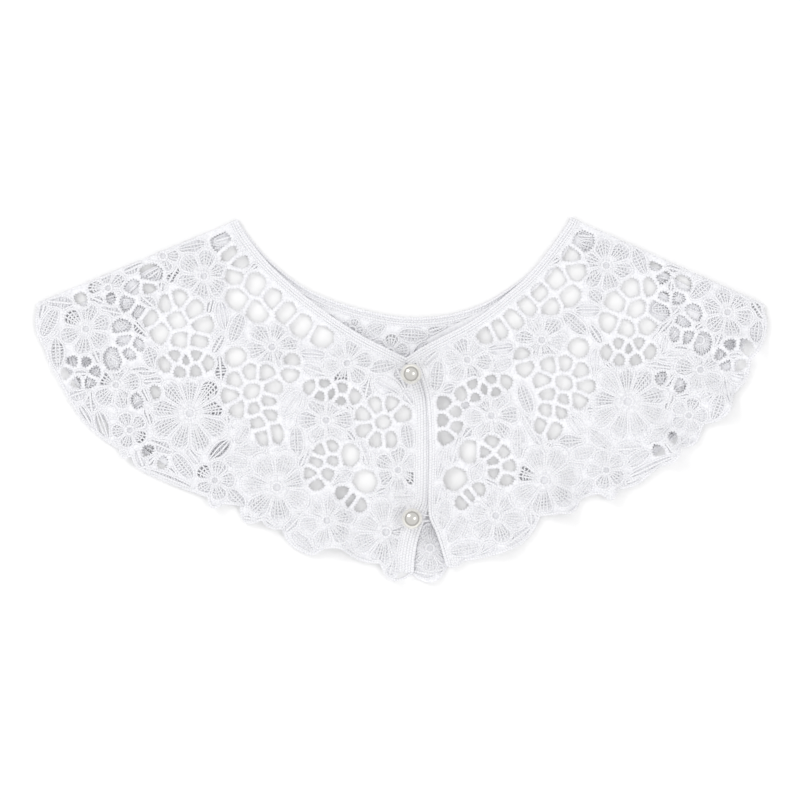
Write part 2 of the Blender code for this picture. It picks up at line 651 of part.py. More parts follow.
def main():
    for thing in list(bpy.data.objects):
        bpy.data.objects.remove(thing, do_unlink=True)
    gaps = []
    for side in ("left", "right"):
        _, cut = build_front(side)
        gaps += cut
    build_back(gaps)
    build_bands()
    for name, spot in PEARLS.items():
        build_pearl("pearl_button_" + name, spot)
        build_loop("button_loop_" + name, spot)


main()
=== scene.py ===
import math

import bpy
import numpy as np
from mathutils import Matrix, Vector
from mathutils.geometry import delaunay_2d_cdt
from mathutils.kdtree import KDTree


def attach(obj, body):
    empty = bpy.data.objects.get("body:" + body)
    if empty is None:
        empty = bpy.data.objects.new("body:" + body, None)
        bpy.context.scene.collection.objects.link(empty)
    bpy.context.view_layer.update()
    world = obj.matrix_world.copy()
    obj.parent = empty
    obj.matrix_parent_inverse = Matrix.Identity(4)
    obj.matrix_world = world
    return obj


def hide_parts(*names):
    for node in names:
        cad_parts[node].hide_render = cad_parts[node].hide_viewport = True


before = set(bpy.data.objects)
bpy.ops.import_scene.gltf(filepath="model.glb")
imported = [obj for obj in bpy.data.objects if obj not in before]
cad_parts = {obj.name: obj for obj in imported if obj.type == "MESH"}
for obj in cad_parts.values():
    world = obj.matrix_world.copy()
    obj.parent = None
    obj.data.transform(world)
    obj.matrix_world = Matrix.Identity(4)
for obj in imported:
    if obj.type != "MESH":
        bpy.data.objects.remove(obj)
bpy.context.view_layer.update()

dice = np.random.default_rng(7)
# The tables are drawn in units of 0.52 mm (383 mm are 737 units), with Y downwards
drawing = {"middle": (400.04, 399.28), "unit": 383.0 / 737.0}


def place(points):
    # Drawing units to millimetres
    points = np.asarray(points, float)
    return np.stack([(points[..., 0] - drawing["middle"][0]) * drawing["unit"],
                     (drawing["middle"][1] - points[..., 1]) * drawing["unit"]], axis=-1)


def ease(value):
    # Smooth step: 3v^2 - 2v^3 between 0 and 1
    value = np.clip(value, 0.0, 1.0)
    return value * value * (3.0 - 2.0 * value)


# How the cloth lies, in mm. Overlap: the right front climbs over the left one between two places on X.
# Ripples and waves fade out before the fold, and the lace runs on a little under its bands.
cloth = {"wall": 1.2, "frontLevel": 1.5, "foldInner": 0.9, "foldTail": 0.3,
         "foldParts": (0.0, 0.25, 0.5, 0.75, 1.0),
         "overlapRise": 1.5, "overlapFrom": 438.0, "overlapTo": 470.0,
         "waveHeight": 0.4, "waveFade": 10.0, "rippleFade": 14.0,
         "neckBand": 4.6, "frontBand": 2.8, "placket": 9.0, "underBand": 0.8, "underEdge": 0.9}
rollDepth = (cloth["foldInner"] + cloth["wall"] / 2) * math.pi / 2   # a quarter turn at the wall's middle
sideSign = {"left": 1.0, "right": -1.0}   # which side of its edge lines a front lies on
foldEnds = {"left": ((40.0, 301.0), (237.0, 219.0)), "right": ((757.0, 300.0), (572.0, 217.0))}
rippleFocus = {"left": (300.0, 250.0), "right": (515.0, 245.0), "back": (431.0, 300.0)}
# Each ripple: x and y of its foot at the hem, half width, height in mm, reach inwards
rippleRows = {
    "left": ((66, 372, 20, 2.0, 60), (130, 455, 22, 2.4, 70), (213, 505, 22, 2.6, 70),
             (268, 526, 20, 3.0, 70), (338, 548, 26, 5.5, 80), (392, 578, 16, 2.6, 60)),
    "right": ((752, 350, 20, 4.0, 60), (728, 408, 20, 5.0, 70), (676, 455, 20, 6.0, 75),
              (612, 495, 22, 3.5, 75), (562, 512, 18, 6.5, 70), (505, 546, 22, 3.0, 70)),
    "back": ((431, 584, 22, 2.4, 70),),
}


def foldLine(side):
    # A point where a front starts to roll, an outer radius in from the drawn fold, and the way inwards
    start, end = place(foldEnds[side])
    along = (end - start) / np.linalg.norm(end - start)
    inward = np.array([along[1], -along[0]])
    inward = -inward if inward[1] > 0 else inward
    return start + inward * (cloth["foldInner"] + cloth["wall"]), inward


def pastFold(side, plan):
    # Distance in front of the shoulder fold, negative where the lace rolls down
    start, inward = foldLine(side)
    return (plan - start) @ inward


def rippleLift(side, plan):
    # Each ripple is a ridge, cos^2 across and a smooth step along, highest at the hem
    focus, lift = place(rippleFocus[side]), np.zeros(len(plan))
    for x, y, halfWidth, height, reach in rippleRows[side]:
        foot = place((x, y))
        toward = (focus - foot) / np.linalg.norm(focus - foot)
        inwards = np.clip((plan - foot) @ toward, 0.0, None)
        across = np.abs((plan - foot) @ np.array([-toward[1], toward[0]]))
        ridge = np.cos(np.clip(across / (halfWidth * drawing["unit"]), 0.0, 1.0) * math.pi / 2) ** 2
        lift = np.maximum(lift, height * ridge * ease(1.0 - inwards / (reach * drawing["unit"])))
    return lift if side == "back" else lift * ease(pastFold(side, plan) / cloth["rippleFade"])


def waves(plan):
    # Three slow sines of different directions, never below zero
    x, y = plan[:, 0], plan[:, 1]
    wave = np.sin(x / 6.1 + 0.9 * np.sin(y / 9.0)) + np.sin(y / 5.2 + x / 17.0) + np.sin((x - y) / 8.3)
    return cloth["waveHeight"] * (wave / 6.0 + 0.5)


def layFront(side, plan, height):
    # z = underside + ripples + waves + height; past the fold the point turns about the fold's axis instead
    start, inward = foldLine(side)
    past = (plan - start) @ inward
    level = cloth["frontLevel"] + rippleLift(side, plan) + waves(plan) * ease(past / cloth["waveFade"])
    if side == "right":
        far, near = place((cloth["overlapTo"], 0))[0], place((cloth["overlapFrom"], 0))[0]
        level = level + cloth["overlapRise"] * ease((far - plan[:, 0]) / (far - near))
    bend = cloth["foldInner"] + cloth["wall"] / 2
    turn = np.clip(-past / bend, 0.0, math.pi / 2)
    tail = np.clip(-past - bend * math.pi / 2, 0.0, None)
    radius = cloth["foldInner"] + height
    rolled = past < 0
    shift = np.where(rolled, -past - radius * np.sin(turn), 0.0)
    z = np.where(rolled, level - cloth["foldInner"] + radius * np.cos(turn) - tail, level + height)
    return np.column_stack([plan + inward * shift[:, None], z])


def layBack(plan, height):
    # Flat on the table, but for a small lift of the hem between the two fronts
    return np.column_stack([plan, height + rippleLift("back", plan)])


layers = {"left": lambda plan, height: layFront("left", plan, height),
          "right": lambda plan, height: layFront("right", plan, height), "back": layBack}

# Edges: x, y, from the left to the right or from the neck to the hem
necks = {
    "left": ((238, 221), (250, 240), (270, 264), (297, 289), (328, 313), (360, 334), (385, 347), (409, 359)),
    "right": ((571, 219), (552, 246), (530, 273), (510, 291), (490, 308), (468, 323), (445, 335), (422, 347),
              (404, 359)),
    "back": ((237, 219), (250, 237), (270, 260), (300, 284), (330, 299), (370, 311), (408, 317), (450, 314),
             (490, 300), (530, 272), (551, 247), (572, 217)),
}
centres = {
    "left": ((424, 372), (432, 400), (433, 450), (432, 498), (426, 517), (419, 536), (415, 556), (414, 573)),
    "right": ((412, 356), (416.5, 366), (421.5, 380), (427, 402), (429, 450), (428, 500), (429, 517),
              (436, 533), (442, 552), (446, 566)),
}
# Hem lobes: x, y of each notch, and how far the lobe after it stands out
hems = {
    "left": ((40, 301, 7), (45, 348, 2), (57, 375, 2), (85, 423, 2), (120, 449, 6), (132, 456, 2),
             (141, 470, 1.5), (208, 497, 8), (223, 504, -0.5), (240, 506, 11), (262, 520, 3.5),
             (282, 529, 4), (303, 552, 4), (322, 550, -3), (346, 551, 4), (380, 563, 13), (414, 573, 0)),
    "right": ((757, 300, 7), (763, 342, 1), (750, 360, 2), (745, 382, 0), (733, 395, 9), (704, 424, 0),
              (698, 441, 3), (680, 446, 7), (660, 466, 0), (640, 483, 1.5), (618, 489, 8), (601, 494, -1.5),
              (580, 500, 6), (560, 513, 0.5), (540, 516, 3), (520, 545, 2.5), (463, 561, 3.5),
              (446, 566, 0)),
    "back": ((52, 318, 3), (60, 350, 3), (82, 392, 3), (118, 430, 3), (160, 462, 3), (212, 482, 3),
             (262, 505, 3), (312, 535, 3), (362, 549, 3), (411, 574, 14), (449, 563, 3), (505, 537, 3),
             (548, 500, 3), (600, 480, 3), (648, 458, 3), (684, 426, 3), (718, 398, 3), (738, 362, 3),
             (748, 318, 0)),
}


def evenly(path, step, closed=False):
    # The same line in even steps: points at equal distances along it
    path = np.vstack([path, path[:1]]) if closed else path
    lengths = np.concatenate([[0.0], np.cumsum(np.linalg.norm(np.diff(path, axis=0), axis=1))])
    count = max(3 if closed else 2, int(round(lengths[-1] / step)))
    stops = np.linspace(0.0, lengths[-1], count + 1)
    stops = stops[:-1] if closed else stops
    return np.column_stack([np.interp(stops, lengths, path[:, k]) for k in range(path.shape[1])])


def smoothLine(points, step, closed=False):
    # Catmull-Rom curve through the points, in even steps
    points = np.asarray(points, float)
    if closed:
        ends = np.vstack([points[-1:], points, points[:2]])
    else:
        ends = np.vstack([2 * points[:1] - points[1:2], points, 2 * points[-1:] - points[-2:-1]])
    a, b, c, d = ends[:-3, None], ends[1:-2, None], ends[2:-1, None], ends[3:, None]
    t = np.linspace(0.0, 1.0, 10, endpoint=False)[None, :, None]
    square, cube = 2 * a - 5 * b + 4 * c - d, 3 * b - a - 3 * c + d
    dense = 0.5 * (2 * b + (c - a) * t + square * t ** 2 + cube * t ** 3)
    dense = dense.reshape(-1, points.shape[1])
    return evenly(dense if closed else np.vstack([dense, points[-1:]]), step, closed)


def softened(path, passes, closed=False):
    # Each point moves to the mean of itself and its neighbours
    path = path.copy()
    for _ in range(passes):
        mean = (np.roll(path, 1, 0) + 2 * path + np.roll(path, -1, 0)) / 4
        if not closed:
            mean[0], mean[-1] = path[0], path[-1]
        path = mean
    return path


def normalsOf(path, closed=False):
    # Unit normals to the right of a path
    along = np.roll(path, -1, 0) - np.roll(path, 1, 0) if closed else np.gradient(path, axis=0)
    along = along / (np.linalg.norm(along, axis=1)[:, None] + 1e-9)
    return np.column_stack([along[:, 1], -along[:, 0]])


def hemLine(rows, outward, step=0.75):
    # Between two notches the edge swells out as a parabola
    points = []
    for (x, y, swell), (nextX, nextY, _) in zip(rows, rows[1:]):
        start, end = place((x, y)), place((nextX, nextY))
        chord = end - start
        t = np.linspace(0.0, 1.0, 14, endpoint=False)[:, None]
        normal = np.array([chord[1], -chord[0]]) / np.linalg.norm(chord)
        points.append(start + chord * t + normal * swell * outward * drawing["unit"] * 4 * t * (1 - t))
    return evenly(np.vstack(points + [place(rows[-1][:2])[None]]), step)


def rollRow(side, point):
    # A point of the edge, carried on round the fold to the end of the cloth
    start, inward = foldLine(side)
    onLine = point - inward * ((point - start) @ inward)
    return np.array([onLine - inward * rollDepth * part for part in cloth["foldParts"]]
                    + [onLine - inward * (rollDepth + cloth["foldTail"])])


def frontOutline(side):
    # Closed outline of a front's cut, with tiny steps along the hem: every second point 0.3 mm further out
    toward = sideSign[side]
    hem = hemLine(hems[side], toward)
    neck = smoothLine(place(necks[side]), 0.9)
    neck = neck + normalsOf(neck) * toward * (cloth["neckBand"] - cloth["underBand"])
    centre = smoothLine(place(centres[side]), 0.9)
    band = cloth["placket"] if side == "left" else cloth["frontBand"]
    centre = centre + normalsOf(centre) * toward * (band - cloth["underEdge"])
    hem, neck = hem[pastFold(side, hem) > 0.6], neck[pastFold(side, neck) > 0.6]
    neck = neck[(centre[0, 0] - neck[:, 0]) * toward > 0.6]
    hem = hem[(centre[-1, 0] - hem[:, 0]) * toward > 0.6]
    hem = hem + normalsOf(hem) * toward * (np.arange(len(hem)) % 2 * 0.3)[:, None]
    hemEnd, neckEnd = rollRow(side, hem[0]), rollRow(side, neck[0])
    edge = evenly(np.array([neckEnd[-1], hemEnd[-1]]), 2.0)[1:-1]
    return np.vstack([hemEnd[::-1], hem, centre[::-1], neck[::-1], neckEnd, edge])


def backOutline():
    # Closed outline of the back's cut, which ends just inside both folds
    neck = smoothLine(place(necks["back"]), 0.9)
    neck = neck + normalsOf(neck) * (cloth["neckBand"] - cloth["underBand"])
    loop = np.vstack([hemLine(hems["back"], 1.0), neck[::-1]])
    return loop[np.minimum(pastFold("left", loop), pastFold("right", loop)) > 0.3]


# A raster of the plan says which places are taken while the motifs grow into the room that is left
raster = {"cell": 0.5, "low": np.array([-200.0, -102.0]), "shape": (408, 800)}
cellSteps = [low + (np.arange(count) + 0.5) * raster["cell"]
             for low, count in zip(raster["low"], raster["shape"][::-1])]
middles = np.stack(np.meshgrid(*cellSteps), axis=-1)


def cellOf(plan):
    # Row and column of the cell at each place
    spot = ((plan - raster["low"]) / raster["cell"]).astype(int)
    rows, cols = raster["shape"]
    return np.clip(spot[..., 1], 0, rows - 1), np.clip(spot[..., 0], 0, cols - 1)


def insideLoop(points, loop):
    # Even-odd rule, one edge at a time for all points
    x, y = points[:, 0], points[:, 1]
    result = np.zeros(len(points), bool)
    for a, b in zip(loop, np.roll(loop, -1, 0)):
        crossed = np.nonzero((a[1] > y) != (b[1] > y))[0]
        if len(crossed):
            result[crossed] ^= x[crossed] < a[0] + (y[crossed] - a[1]) / (b[1] - a[1]) * (b[0] - a[0])
    return result


def stamp(mask, loop):
    # Marks the cells inside a loop
    (r0, c0), (r1, c1) = cellOf(loop.min(0) - 1.0), cellOf(loop.max(0) + 1.0)
    window = middles[r0:r1 + 1, c0:c1 + 1]
    mask[r0:r1 + 1, c0:c1 + 1] |= insideLoop(window.reshape(-1, 2), loop).reshape(window.shape[:2])


def grown(mask, reach):
    # The mask with every cell within reach of it: the union of its copies moved by each step of a disc
    count = int(round(reach / raster["cell"]))
    out = mask.copy()
    for dy in range(-count, count + 1):
        span = int(math.sqrt(count * count - dy * dy))
        row = np.roll(mask, dy, axis=0)
        for dx in range(-span, span + 1):
            out |= np.roll(row, dx, axis=1)
    return out


def depthIn(free):
    # Distance of each free cell from the nearest taken one, in mm, by peeling rims
    depth, left, odd = np.zeros(free.shape), free.copy(), False
    while left.any():
        depth[left] += raster["cell"]
        peeled = left & np.roll(left, 1, 0) & np.roll(left, -1, 0)
        peeled &= np.roll(left, 1, 1) & np.roll(left, -1, 1)
        if odd:
            peeled &= np.roll(left, (1, 1), (0, 1)) & np.roll(left, (-1, 1), (0, 1))
            peeled &= np.roll(left, (1, -1), (0, 1)) & np.roll(left, (-1, -1), (0, 1))
        left, odd = peeled, not odd
    return depth


def sampled(values, plan):
    # Bilinear reading of a raster at places of the plan
    spot = (plan - raster["low"]) / raster["cell"] - 0.5
    base = np.floor(spot).astype(int)
    part = spot - base
    rows, cols = raster["shape"]
    row, col = np.clip(base[:, 1], 0, rows - 2), np.clip(base[:, 0], 0, cols - 2)
    fx, fy = np.clip(part[:, 0], 0, 1), np.clip(part[:, 1], 0, 1)
    return ((values[row, col] * (1 - fx) + values[row, col + 1] * fx) * (1 - fy)
            + (values[row + 1, col] * (1 - fx) + values[row + 1, col + 1] * fx) * fy)


def blurred(values, passes):
    # Each pass takes half of the cell itself and an eighth of each of its four neighbours
    for _ in range(passes):
        values = (values * 4 + np.roll(values, 1, 0) + np.roll(values, -1, 0)
                  + np.roll(values, 1, 1) + np.roll(values, -1, 1)) / 8
    return values


def reachFrom(origins, angles, longest, taken):
    # How far each ray runs, in steps of half a cell, before it meets a taken one
    step = raster["cell"] / 2
    steps = np.arange(0.0, longest + step, step)
    rays = np.column_stack([np.cos(angles), np.sin(angles)])
    row, col = cellOf(origins + rays[:, None] * steps[None, :, None])
    hit = taken[row, col]
    hit[:, -1] = True
    return steps[hit.argmax(axis=1)]


def circle(count):
    # Unit circle of count points
    angles = 2 * math.pi * np.arange(count) / count
    return np.column_stack([np.cos(angles), np.sin(angles)])


# Motifs. Flowers: x, y, radius, petals, turn in degrees. Leaves: x, y, length, width, turn
flowerRows = (
    (190, 413, 44, 9, 10), (86, 329, 29, 6, 20), (62, 317, 25, 5, 40), (277, 487, 39, 7, 20),
    (326, 420, 30, 6, 0), (398, 470, 26, 6, 30), (327, 520, 31, 6, 15), (386, 532, 38, 7, 0),
    (215, 480, 22, 5, 0), (130, 430, 20, 5, 40), (116, 385, 27, 5, 10), (272, 347, 30, 6, 10),
    (204, 276, 30, 6, 20), (163, 256, 18, 5, 0), (108, 288, 22, 5, 30), (347, 363, 27, 6, 10),
)
leafRows = (
    (120, 306, 34, 11, 68), (137, 325, 38, 16, -45), (161, 290, 32, 14, 85), (198, 348, 46, 14, -35),
    (216, 348, 34, 10, 60), (230, 364, 40, 12, 12), (150, 354, 32, 18, -70), (150, 371, 50, 11, 0),
    (103, 426, 36, 16, -70), (77, 394, 28, 18, 20), (84, 413, 36, 9, -60), (170, 463, 58, 14, -32),
    (172, 480, 60, 9, -22), (243, 463, 42, 16, -10), (246, 428, 40, 14, 60), (286, 437, 46, 13, 62),
    (387, 388, 34, 22, -30), (363, 452, 32, 13, -70), (318, 372, 36, 16, -20), (134, 268, 26, 14, 25),
)
mirror = {"x": 408.5, "pivot": (408.5, 420.0), "turn": 3.0, "stretch": 1.005}
backFlowers = ((430, 548, 26, 6, 90), (100, 350, 30, 6, 0), (170, 420, 34, 7, 20), (250, 450, 30, 6, 10),
               (330, 500, 30, 6, 0), (408, 440, 32, 7, 15), (490, 500, 30, 6, 40), (560, 450, 30, 6, 0),
               (640, 420, 34, 7, 30), (700, 340, 30, 6, 10), (180, 290, 28, 6, 0), (630, 290, 28, 6, 20),
               (390, 352, 20, 5, 10), (352, 330, 13, 5, 0))
backLeaves = ((352, 326, 34, 13, -24), (396, 336, 30, 14, -8), (330, 318, 20, 9, -30),
              (440, 570, 34, 14, 20))


def toRight(x, y):
    # A place of the left front mirrored, then stretched and turned about the pivot, as the right half lies
    turn = math.radians(mirror["turn"])
    dx, dy = (2 * mirror["x"] - x - mirror["pivot"][0]) * mirror["stretch"], y - mirror["pivot"][1]
    return (mirror["pivot"][0] + dx * math.cos(turn) + dy * math.sin(turn),
            mirror["pivot"][1] - dx * math.sin(turn) + dy * math.cos(turn))


# Share of petals and leaves with an open net: high at the shoulders, low along the hem where the lace is
# dense. Rows: x and y from, x and y to, share
openness = {"left": ((0, 0, 235, 600, 1.0), (235, 0, 450, 420, 0.85), (235, 420, 450, 600, 0.35)),
            "right": ((560, 0, 800, 345, 1.0), (400, 0, 800, 420, 0.6), (400, 420, 800, 600, 0.2)),
            "back": ((0, 0, 800, 500, 0.7), (0, 500, 800, 600, 0.0))}


def opensAt(layer, plan):
    # Decides by chance how open a motif's net is: 0 dense, 1 sunken, 2 cut through
    x = plan[0] / drawing["unit"] + drawing["middle"][0]
    y = drawing["middle"][1] - plan[1] / drawing["unit"]
    for x0, y0, x1, y1, share in openness[layer]:
        if x0 <= x <= x1 and y0 <= y <= y1:
            chance = dice.random()
            return 2 if chance < motif["through"] * share else 1 if chance < share else 0
    return 0


def motifsOf(layer):
    # Centre in mm, size in mm and turn in radians of each motif; petals stay a count, leaf widths become mm
    flowers = backFlowers if layer == "back" else flowerRows
    leaves = backLeaves if layer == "back" else leafRows
    out = []
    for x, y, size, other, turn in (*flowers, *leaves):
        if layer == "right":
            (x, y), turn = toRight(x, y), 180 - turn + mirror["turn"]
        out.append((place((x, y)), size * drawing["unit"], other, math.radians(turn)))
    split, unit = len(flowers), drawing["unit"]
    return out[:split], [(middle, size, width * unit, turn) for middle, size, width, turn in out[split:]]


def gapLoops(node):
    # The gaps of a CAD panel as plan points in order: edges between a face that looks up (kind 1) and an
    # upright wall (kind 2), followed round. A gap has at most gapCorners of them, the outline many more
    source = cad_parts[node].data
    source.calc_loop_triangles()
    points = np.zeros(len(source.vertices) * 3)
    source.vertices.foreach_get("co", points)
    points = np.round(points.reshape(-1, 3) * 1000, 3)
    triangles = np.zeros(len(source.loop_triangles) * 3, int)
    source.loop_triangles.foreach_get("vertices", triangles)
    points, merged = np.unique(points, axis=0, return_inverse=True)
    triangles = merged.ravel()[triangles].reshape(-1, 3)
    a, b, c = (points[triangles[:, k]] for k in range(3))
    face = np.cross(b - a, c - a)
    upward = face[:, 2] / (np.linalg.norm(face, axis=1) + 1e-12)
    edges = {}
    for kind, corners in ((1, triangles[upward > 0.3]), (2, triangles[np.abs(upward) < 0.05])):
        for k in range(3):
            for u, v in zip(corners[:, k].tolist(), corners[:, (k + 1) % 3].tolist()):
                key = (min(u, v), max(u, v))
                edges[key] = edges.get(key, 0) | kind
    nexts = {}
    for (u, v), kinds in edges.items():
        if kinds == 3:
            nexts.setdefault(u, []).append(v)
            nexts.setdefault(v, []).append(u)
    gapCorners, walkEnd = 12, 40
    loops, seen = [], set()
    for first in nexts:
        if first in seen:
            continue
        walk, here = [first], first
        seen.add(first)
        while True:
            ahead = [n for n in nexts[here] if n not in seen]
            if not ahead or len(walk) > walkEnd:
                break
            here = ahead[0]
            seen.add(here)
            walk.append(here)
        if len(walk) <= gapCorners and first in nexts[here] and all(len(nexts[n]) == 2 for n in walk):
            loops.append(points[walk][:, :2])
    return loops


# The finish in mm: the ground sheet, its gaps and their teeth, the cords and the nets
lace = {"low": 0.08, "high": 0.84, "rimHigh": 0.6, "rough": 0.09, "petalDome": 0.55, "dents": (0.36, 0.66),
        "bar": 1.5, "gapGrowth": 1.1, "gapRoom": 0.8,
        "picot": 0.46, "picotStep": 0.8, "picotOut": 0.2, "picotIn": 1.7,
        "cordHalf": 0.74, "cordTall": 0.46, "cordAt": 0.84, "cordStep": 0.72, "taper": 0.45,
        "rimWobble": 0.2, "eyeWobble": 0.15, "wobble": 0.14,
        "netPitch": 1.75, "netHalf": 0.58, "netTall": 0.26, "netAt": 0.76, "netStep": 1.35}
# The back shows little, so it is flatter and coarser and has fewer fills
backLace = {"low": 0.0, "high": 0.75, "coarse": 2.0, "dome": 0.3, "fills": 200}
# How motifs grow: the room they leave, their shapes, the least worth stitching, the shares drawn by chance
motif = {"petalRoom": 0.35, "petalFan": 0.93, "lobe": 0.33, "lobePower": 2.6,
         "leafRoom": 0.3, "leafPower": 0.55, "leafLength": 4.0, "leafWidth": 1.6, "holeRoom": 0.45,
         "holeReach": 2.6, "netWidth": 1.7, "netLength": 2.0, "fillLeast": 1.4, "fillHole": 1.8,
         "fillLeaf": 1.9, "fillLength": 18.0, "fillWidth": 8.5, "netShare": 0.7, "through": 0.1}
# Where a blade's net lies, from and to along it and as a share of its width, then from and to of a hole
windows = {"petal": (0.34, 0.87, 0.74, 0.52, 0.85), "leaf": (0.12, 0.88, 0.66, 0.2, 0.8)}


def widened(loops, side, outline):
    # Each gap of the CAD grows outwards, at most by gapGrowth, until a bar of lace is left beside it
    rims = [evenly(loop, 0.9, True) for loop in loops]
    every = np.vstack(rims)
    owner = np.repeat(np.arange(len(rims)), [len(rim) for rim in rims])
    out = []
    for number, rim in enumerate(rims):
        others = every[(owner != number) & (np.abs(every - rim.mean(0)).max(axis=1) < 15.0)]
        outward = rim - rim.mean(0)
        outward /= np.linalg.norm(outward, axis=1)[:, None]
        growth, growing = np.zeros(len(rim)), np.ones(len(rim), bool)
        for reach in np.arange(0.1, lace["gapGrowth"] + 0.05, 0.1):
            spots = rim + outward * reach
            if len(others):
                apart = np.linalg.norm(spots[:, None] - others[None], axis=2).min(axis=1)
                growing &= apart > reach + lace["bar"]
            growing &= pastFold(side, spots) > 1.5
            growing &= insideLoop(spots + outward * 1.0, outline)
            growth[growing] = reach
        growth = (np.roll(growth, 1) + 2 * growth + np.roll(growth, -1)) / 4
        out.append(rim + outward * growth[:, None])
    return out


def serrated(loop, depth):
    # Every second point steps into the gap, as the stitches of a satin bar do
    loop = loop[:len(loop) // 2 * 2]
    push = np.where(np.arange(len(loop)) % 2 == 0, lace["picotOut"], -lace["picotIn"] * depth)
    middle = loop.mean(0)
    arm = loop - middle
    return loop + arm / (np.linalg.norm(arm, axis=1)[:, None] + 1e-9) * push[:, None]


def petalPoint(blade, s, t):
    # centre + direction(turn + s fan) (inner + (outer(s) - inner) t)
    angle = blade["turn"] + s * blade["fan"]
    outer = np.interp(s, blade["s"], blade["outer"])
    reach = blade["inner"] + (outer - blade["inner"]) * t
    return blade["centre"] + np.stack([np.cos(angle), np.sin(angle)], -1) * reach[..., None]


def leafPoint(blade, s, t):
    # start + axis length t + side s halfWidth(t), the half widths of the two sides apart
    half = np.where(s < 0, np.interp(t, blade["t"], blade["right"]), np.interp(t, blade["t"], blade["left"]))
    spine = blade["start"] + blade["axis"] * (blade["length"] * t)[..., None]
    return spine + blade["side"] * (s * half)[..., None]


def growFlower(centre, radius, petals, turn, taken):
    # Petals are fans: outer(s) = inner + (radius - inner) (1 - lobe |s|^lobePower), or where the room ends
    row, col = cellOf(centre)
    if taken[row, col]:
        return []
    blades, inner = [], max(1.6, 0.1 * radius)
    across = np.linspace(-1, 1, 13)
    lobe = 1 - motif["lobe"] * np.abs(across) ** motif["lobePower"]
    fan = math.pi / petals * motif["petalFan"]
    for k in range(petals):
        angle = turn + 2 * math.pi * k / petals
        reach = reachFrom(centre, angle + across * fan, radius, taken) - motif["petalRoom"]
        outer = np.minimum(reach, inner + (radius * dice.uniform(0.93, 1.0) - inner) * lobe)
        for _ in range(3):
            outer = np.minimum(outer, (np.roll(outer, 1) + np.roll(outer, -1)) / 2 + 0.5)
        if np.median(outer) > max(3.8, 0.4 * radius):
            blades.append({"kind": "petal", "point": petalPoint, "centre": centre, "turn": angle, "fan": fan,
                           "s": across, "outer": np.maximum(outer, inner + 1.0), "inner": inner})
    return blades if len(blades) > 1 else []


def growLeaf(centre, length, width, turn, taken):
    # A lens, half width = width / 2 (4t(1 - t))^leafPower, whose ends and sides stop where the room ends
    row, col = cellOf(centre)
    if taken[row, col]:
        return []
    ways = np.array([turn, turn + math.pi])
    ahead, behind = reachFrom(centre, ways, length / 2, taken) - motif["leafRoom"]
    if ahead + behind < motif["leafLength"]:
        return []
    axis = np.array([math.cos(turn), math.sin(turn)])
    start, total, t = centre - axis * behind, ahead + behind, np.linspace(0, 1, 15)
    lens = width / 2 * (4 * t * (1 - t)) ** motif["leafPower"]
    origins = (start + axis * (total * t)[:, None])[:, None]
    sides = []
    for angle in (turn + math.pi / 2, turn - math.pi / 2):
        reach = reachFrom(origins, np.full(15, angle), width, taken) - motif["leafRoom"]
        sides.append(np.maximum(np.minimum(lens, softened(reach[:, None], 1)[:, 0]), 0.15))
    if (sides[0] + sides[1]).mean() < motif["leafWidth"]:
        return []
    return [{"kind": "leaf", "point": leafPoint, "start": start, "axis": axis,
             "side": np.array([-axis[1], axis[0]]), "length": total, "t": t,
             "left": sides[0], "right": sides[1]}]


def bladeLoop(blade, s, low, high, step):
    # The closed line round a blade at a share of its width, between two shares of its length
    t = np.linspace(low, high, 12)
    cross = np.linspace(-s, s, 11)
    loop = np.vstack([blade["point"](blade, np.full(12, -s), t),
                      blade["point"](blade, cross, np.full(11, high)),
                      blade["point"](blade, np.full(12, s), t[::-1]),
                      blade["point"](blade, cross[::-1], np.full(11, low))])
    return evenly(softened(evenly(loop, 0.45, True), 3, True), step, True)


def addStrand(bag, path, at, half, tall, closed=False, wobble=0.0):
    # A strand is kept as its path with a height and half sizes at each point
    count = len(path)
    if count < 3:
        return
    halves = np.full(count, half) * (1 + wobble * np.where(np.arange(count) % 2 == 0, 1.0, -1.0))
    talls = np.full(count, tall)
    if not closed:
        halves[[0, -1]] *= lace["taper"]
        talls[[0, -1]] *= lace["taper"]
    bag.append((path, np.full(count, at), halves, talls, closed))


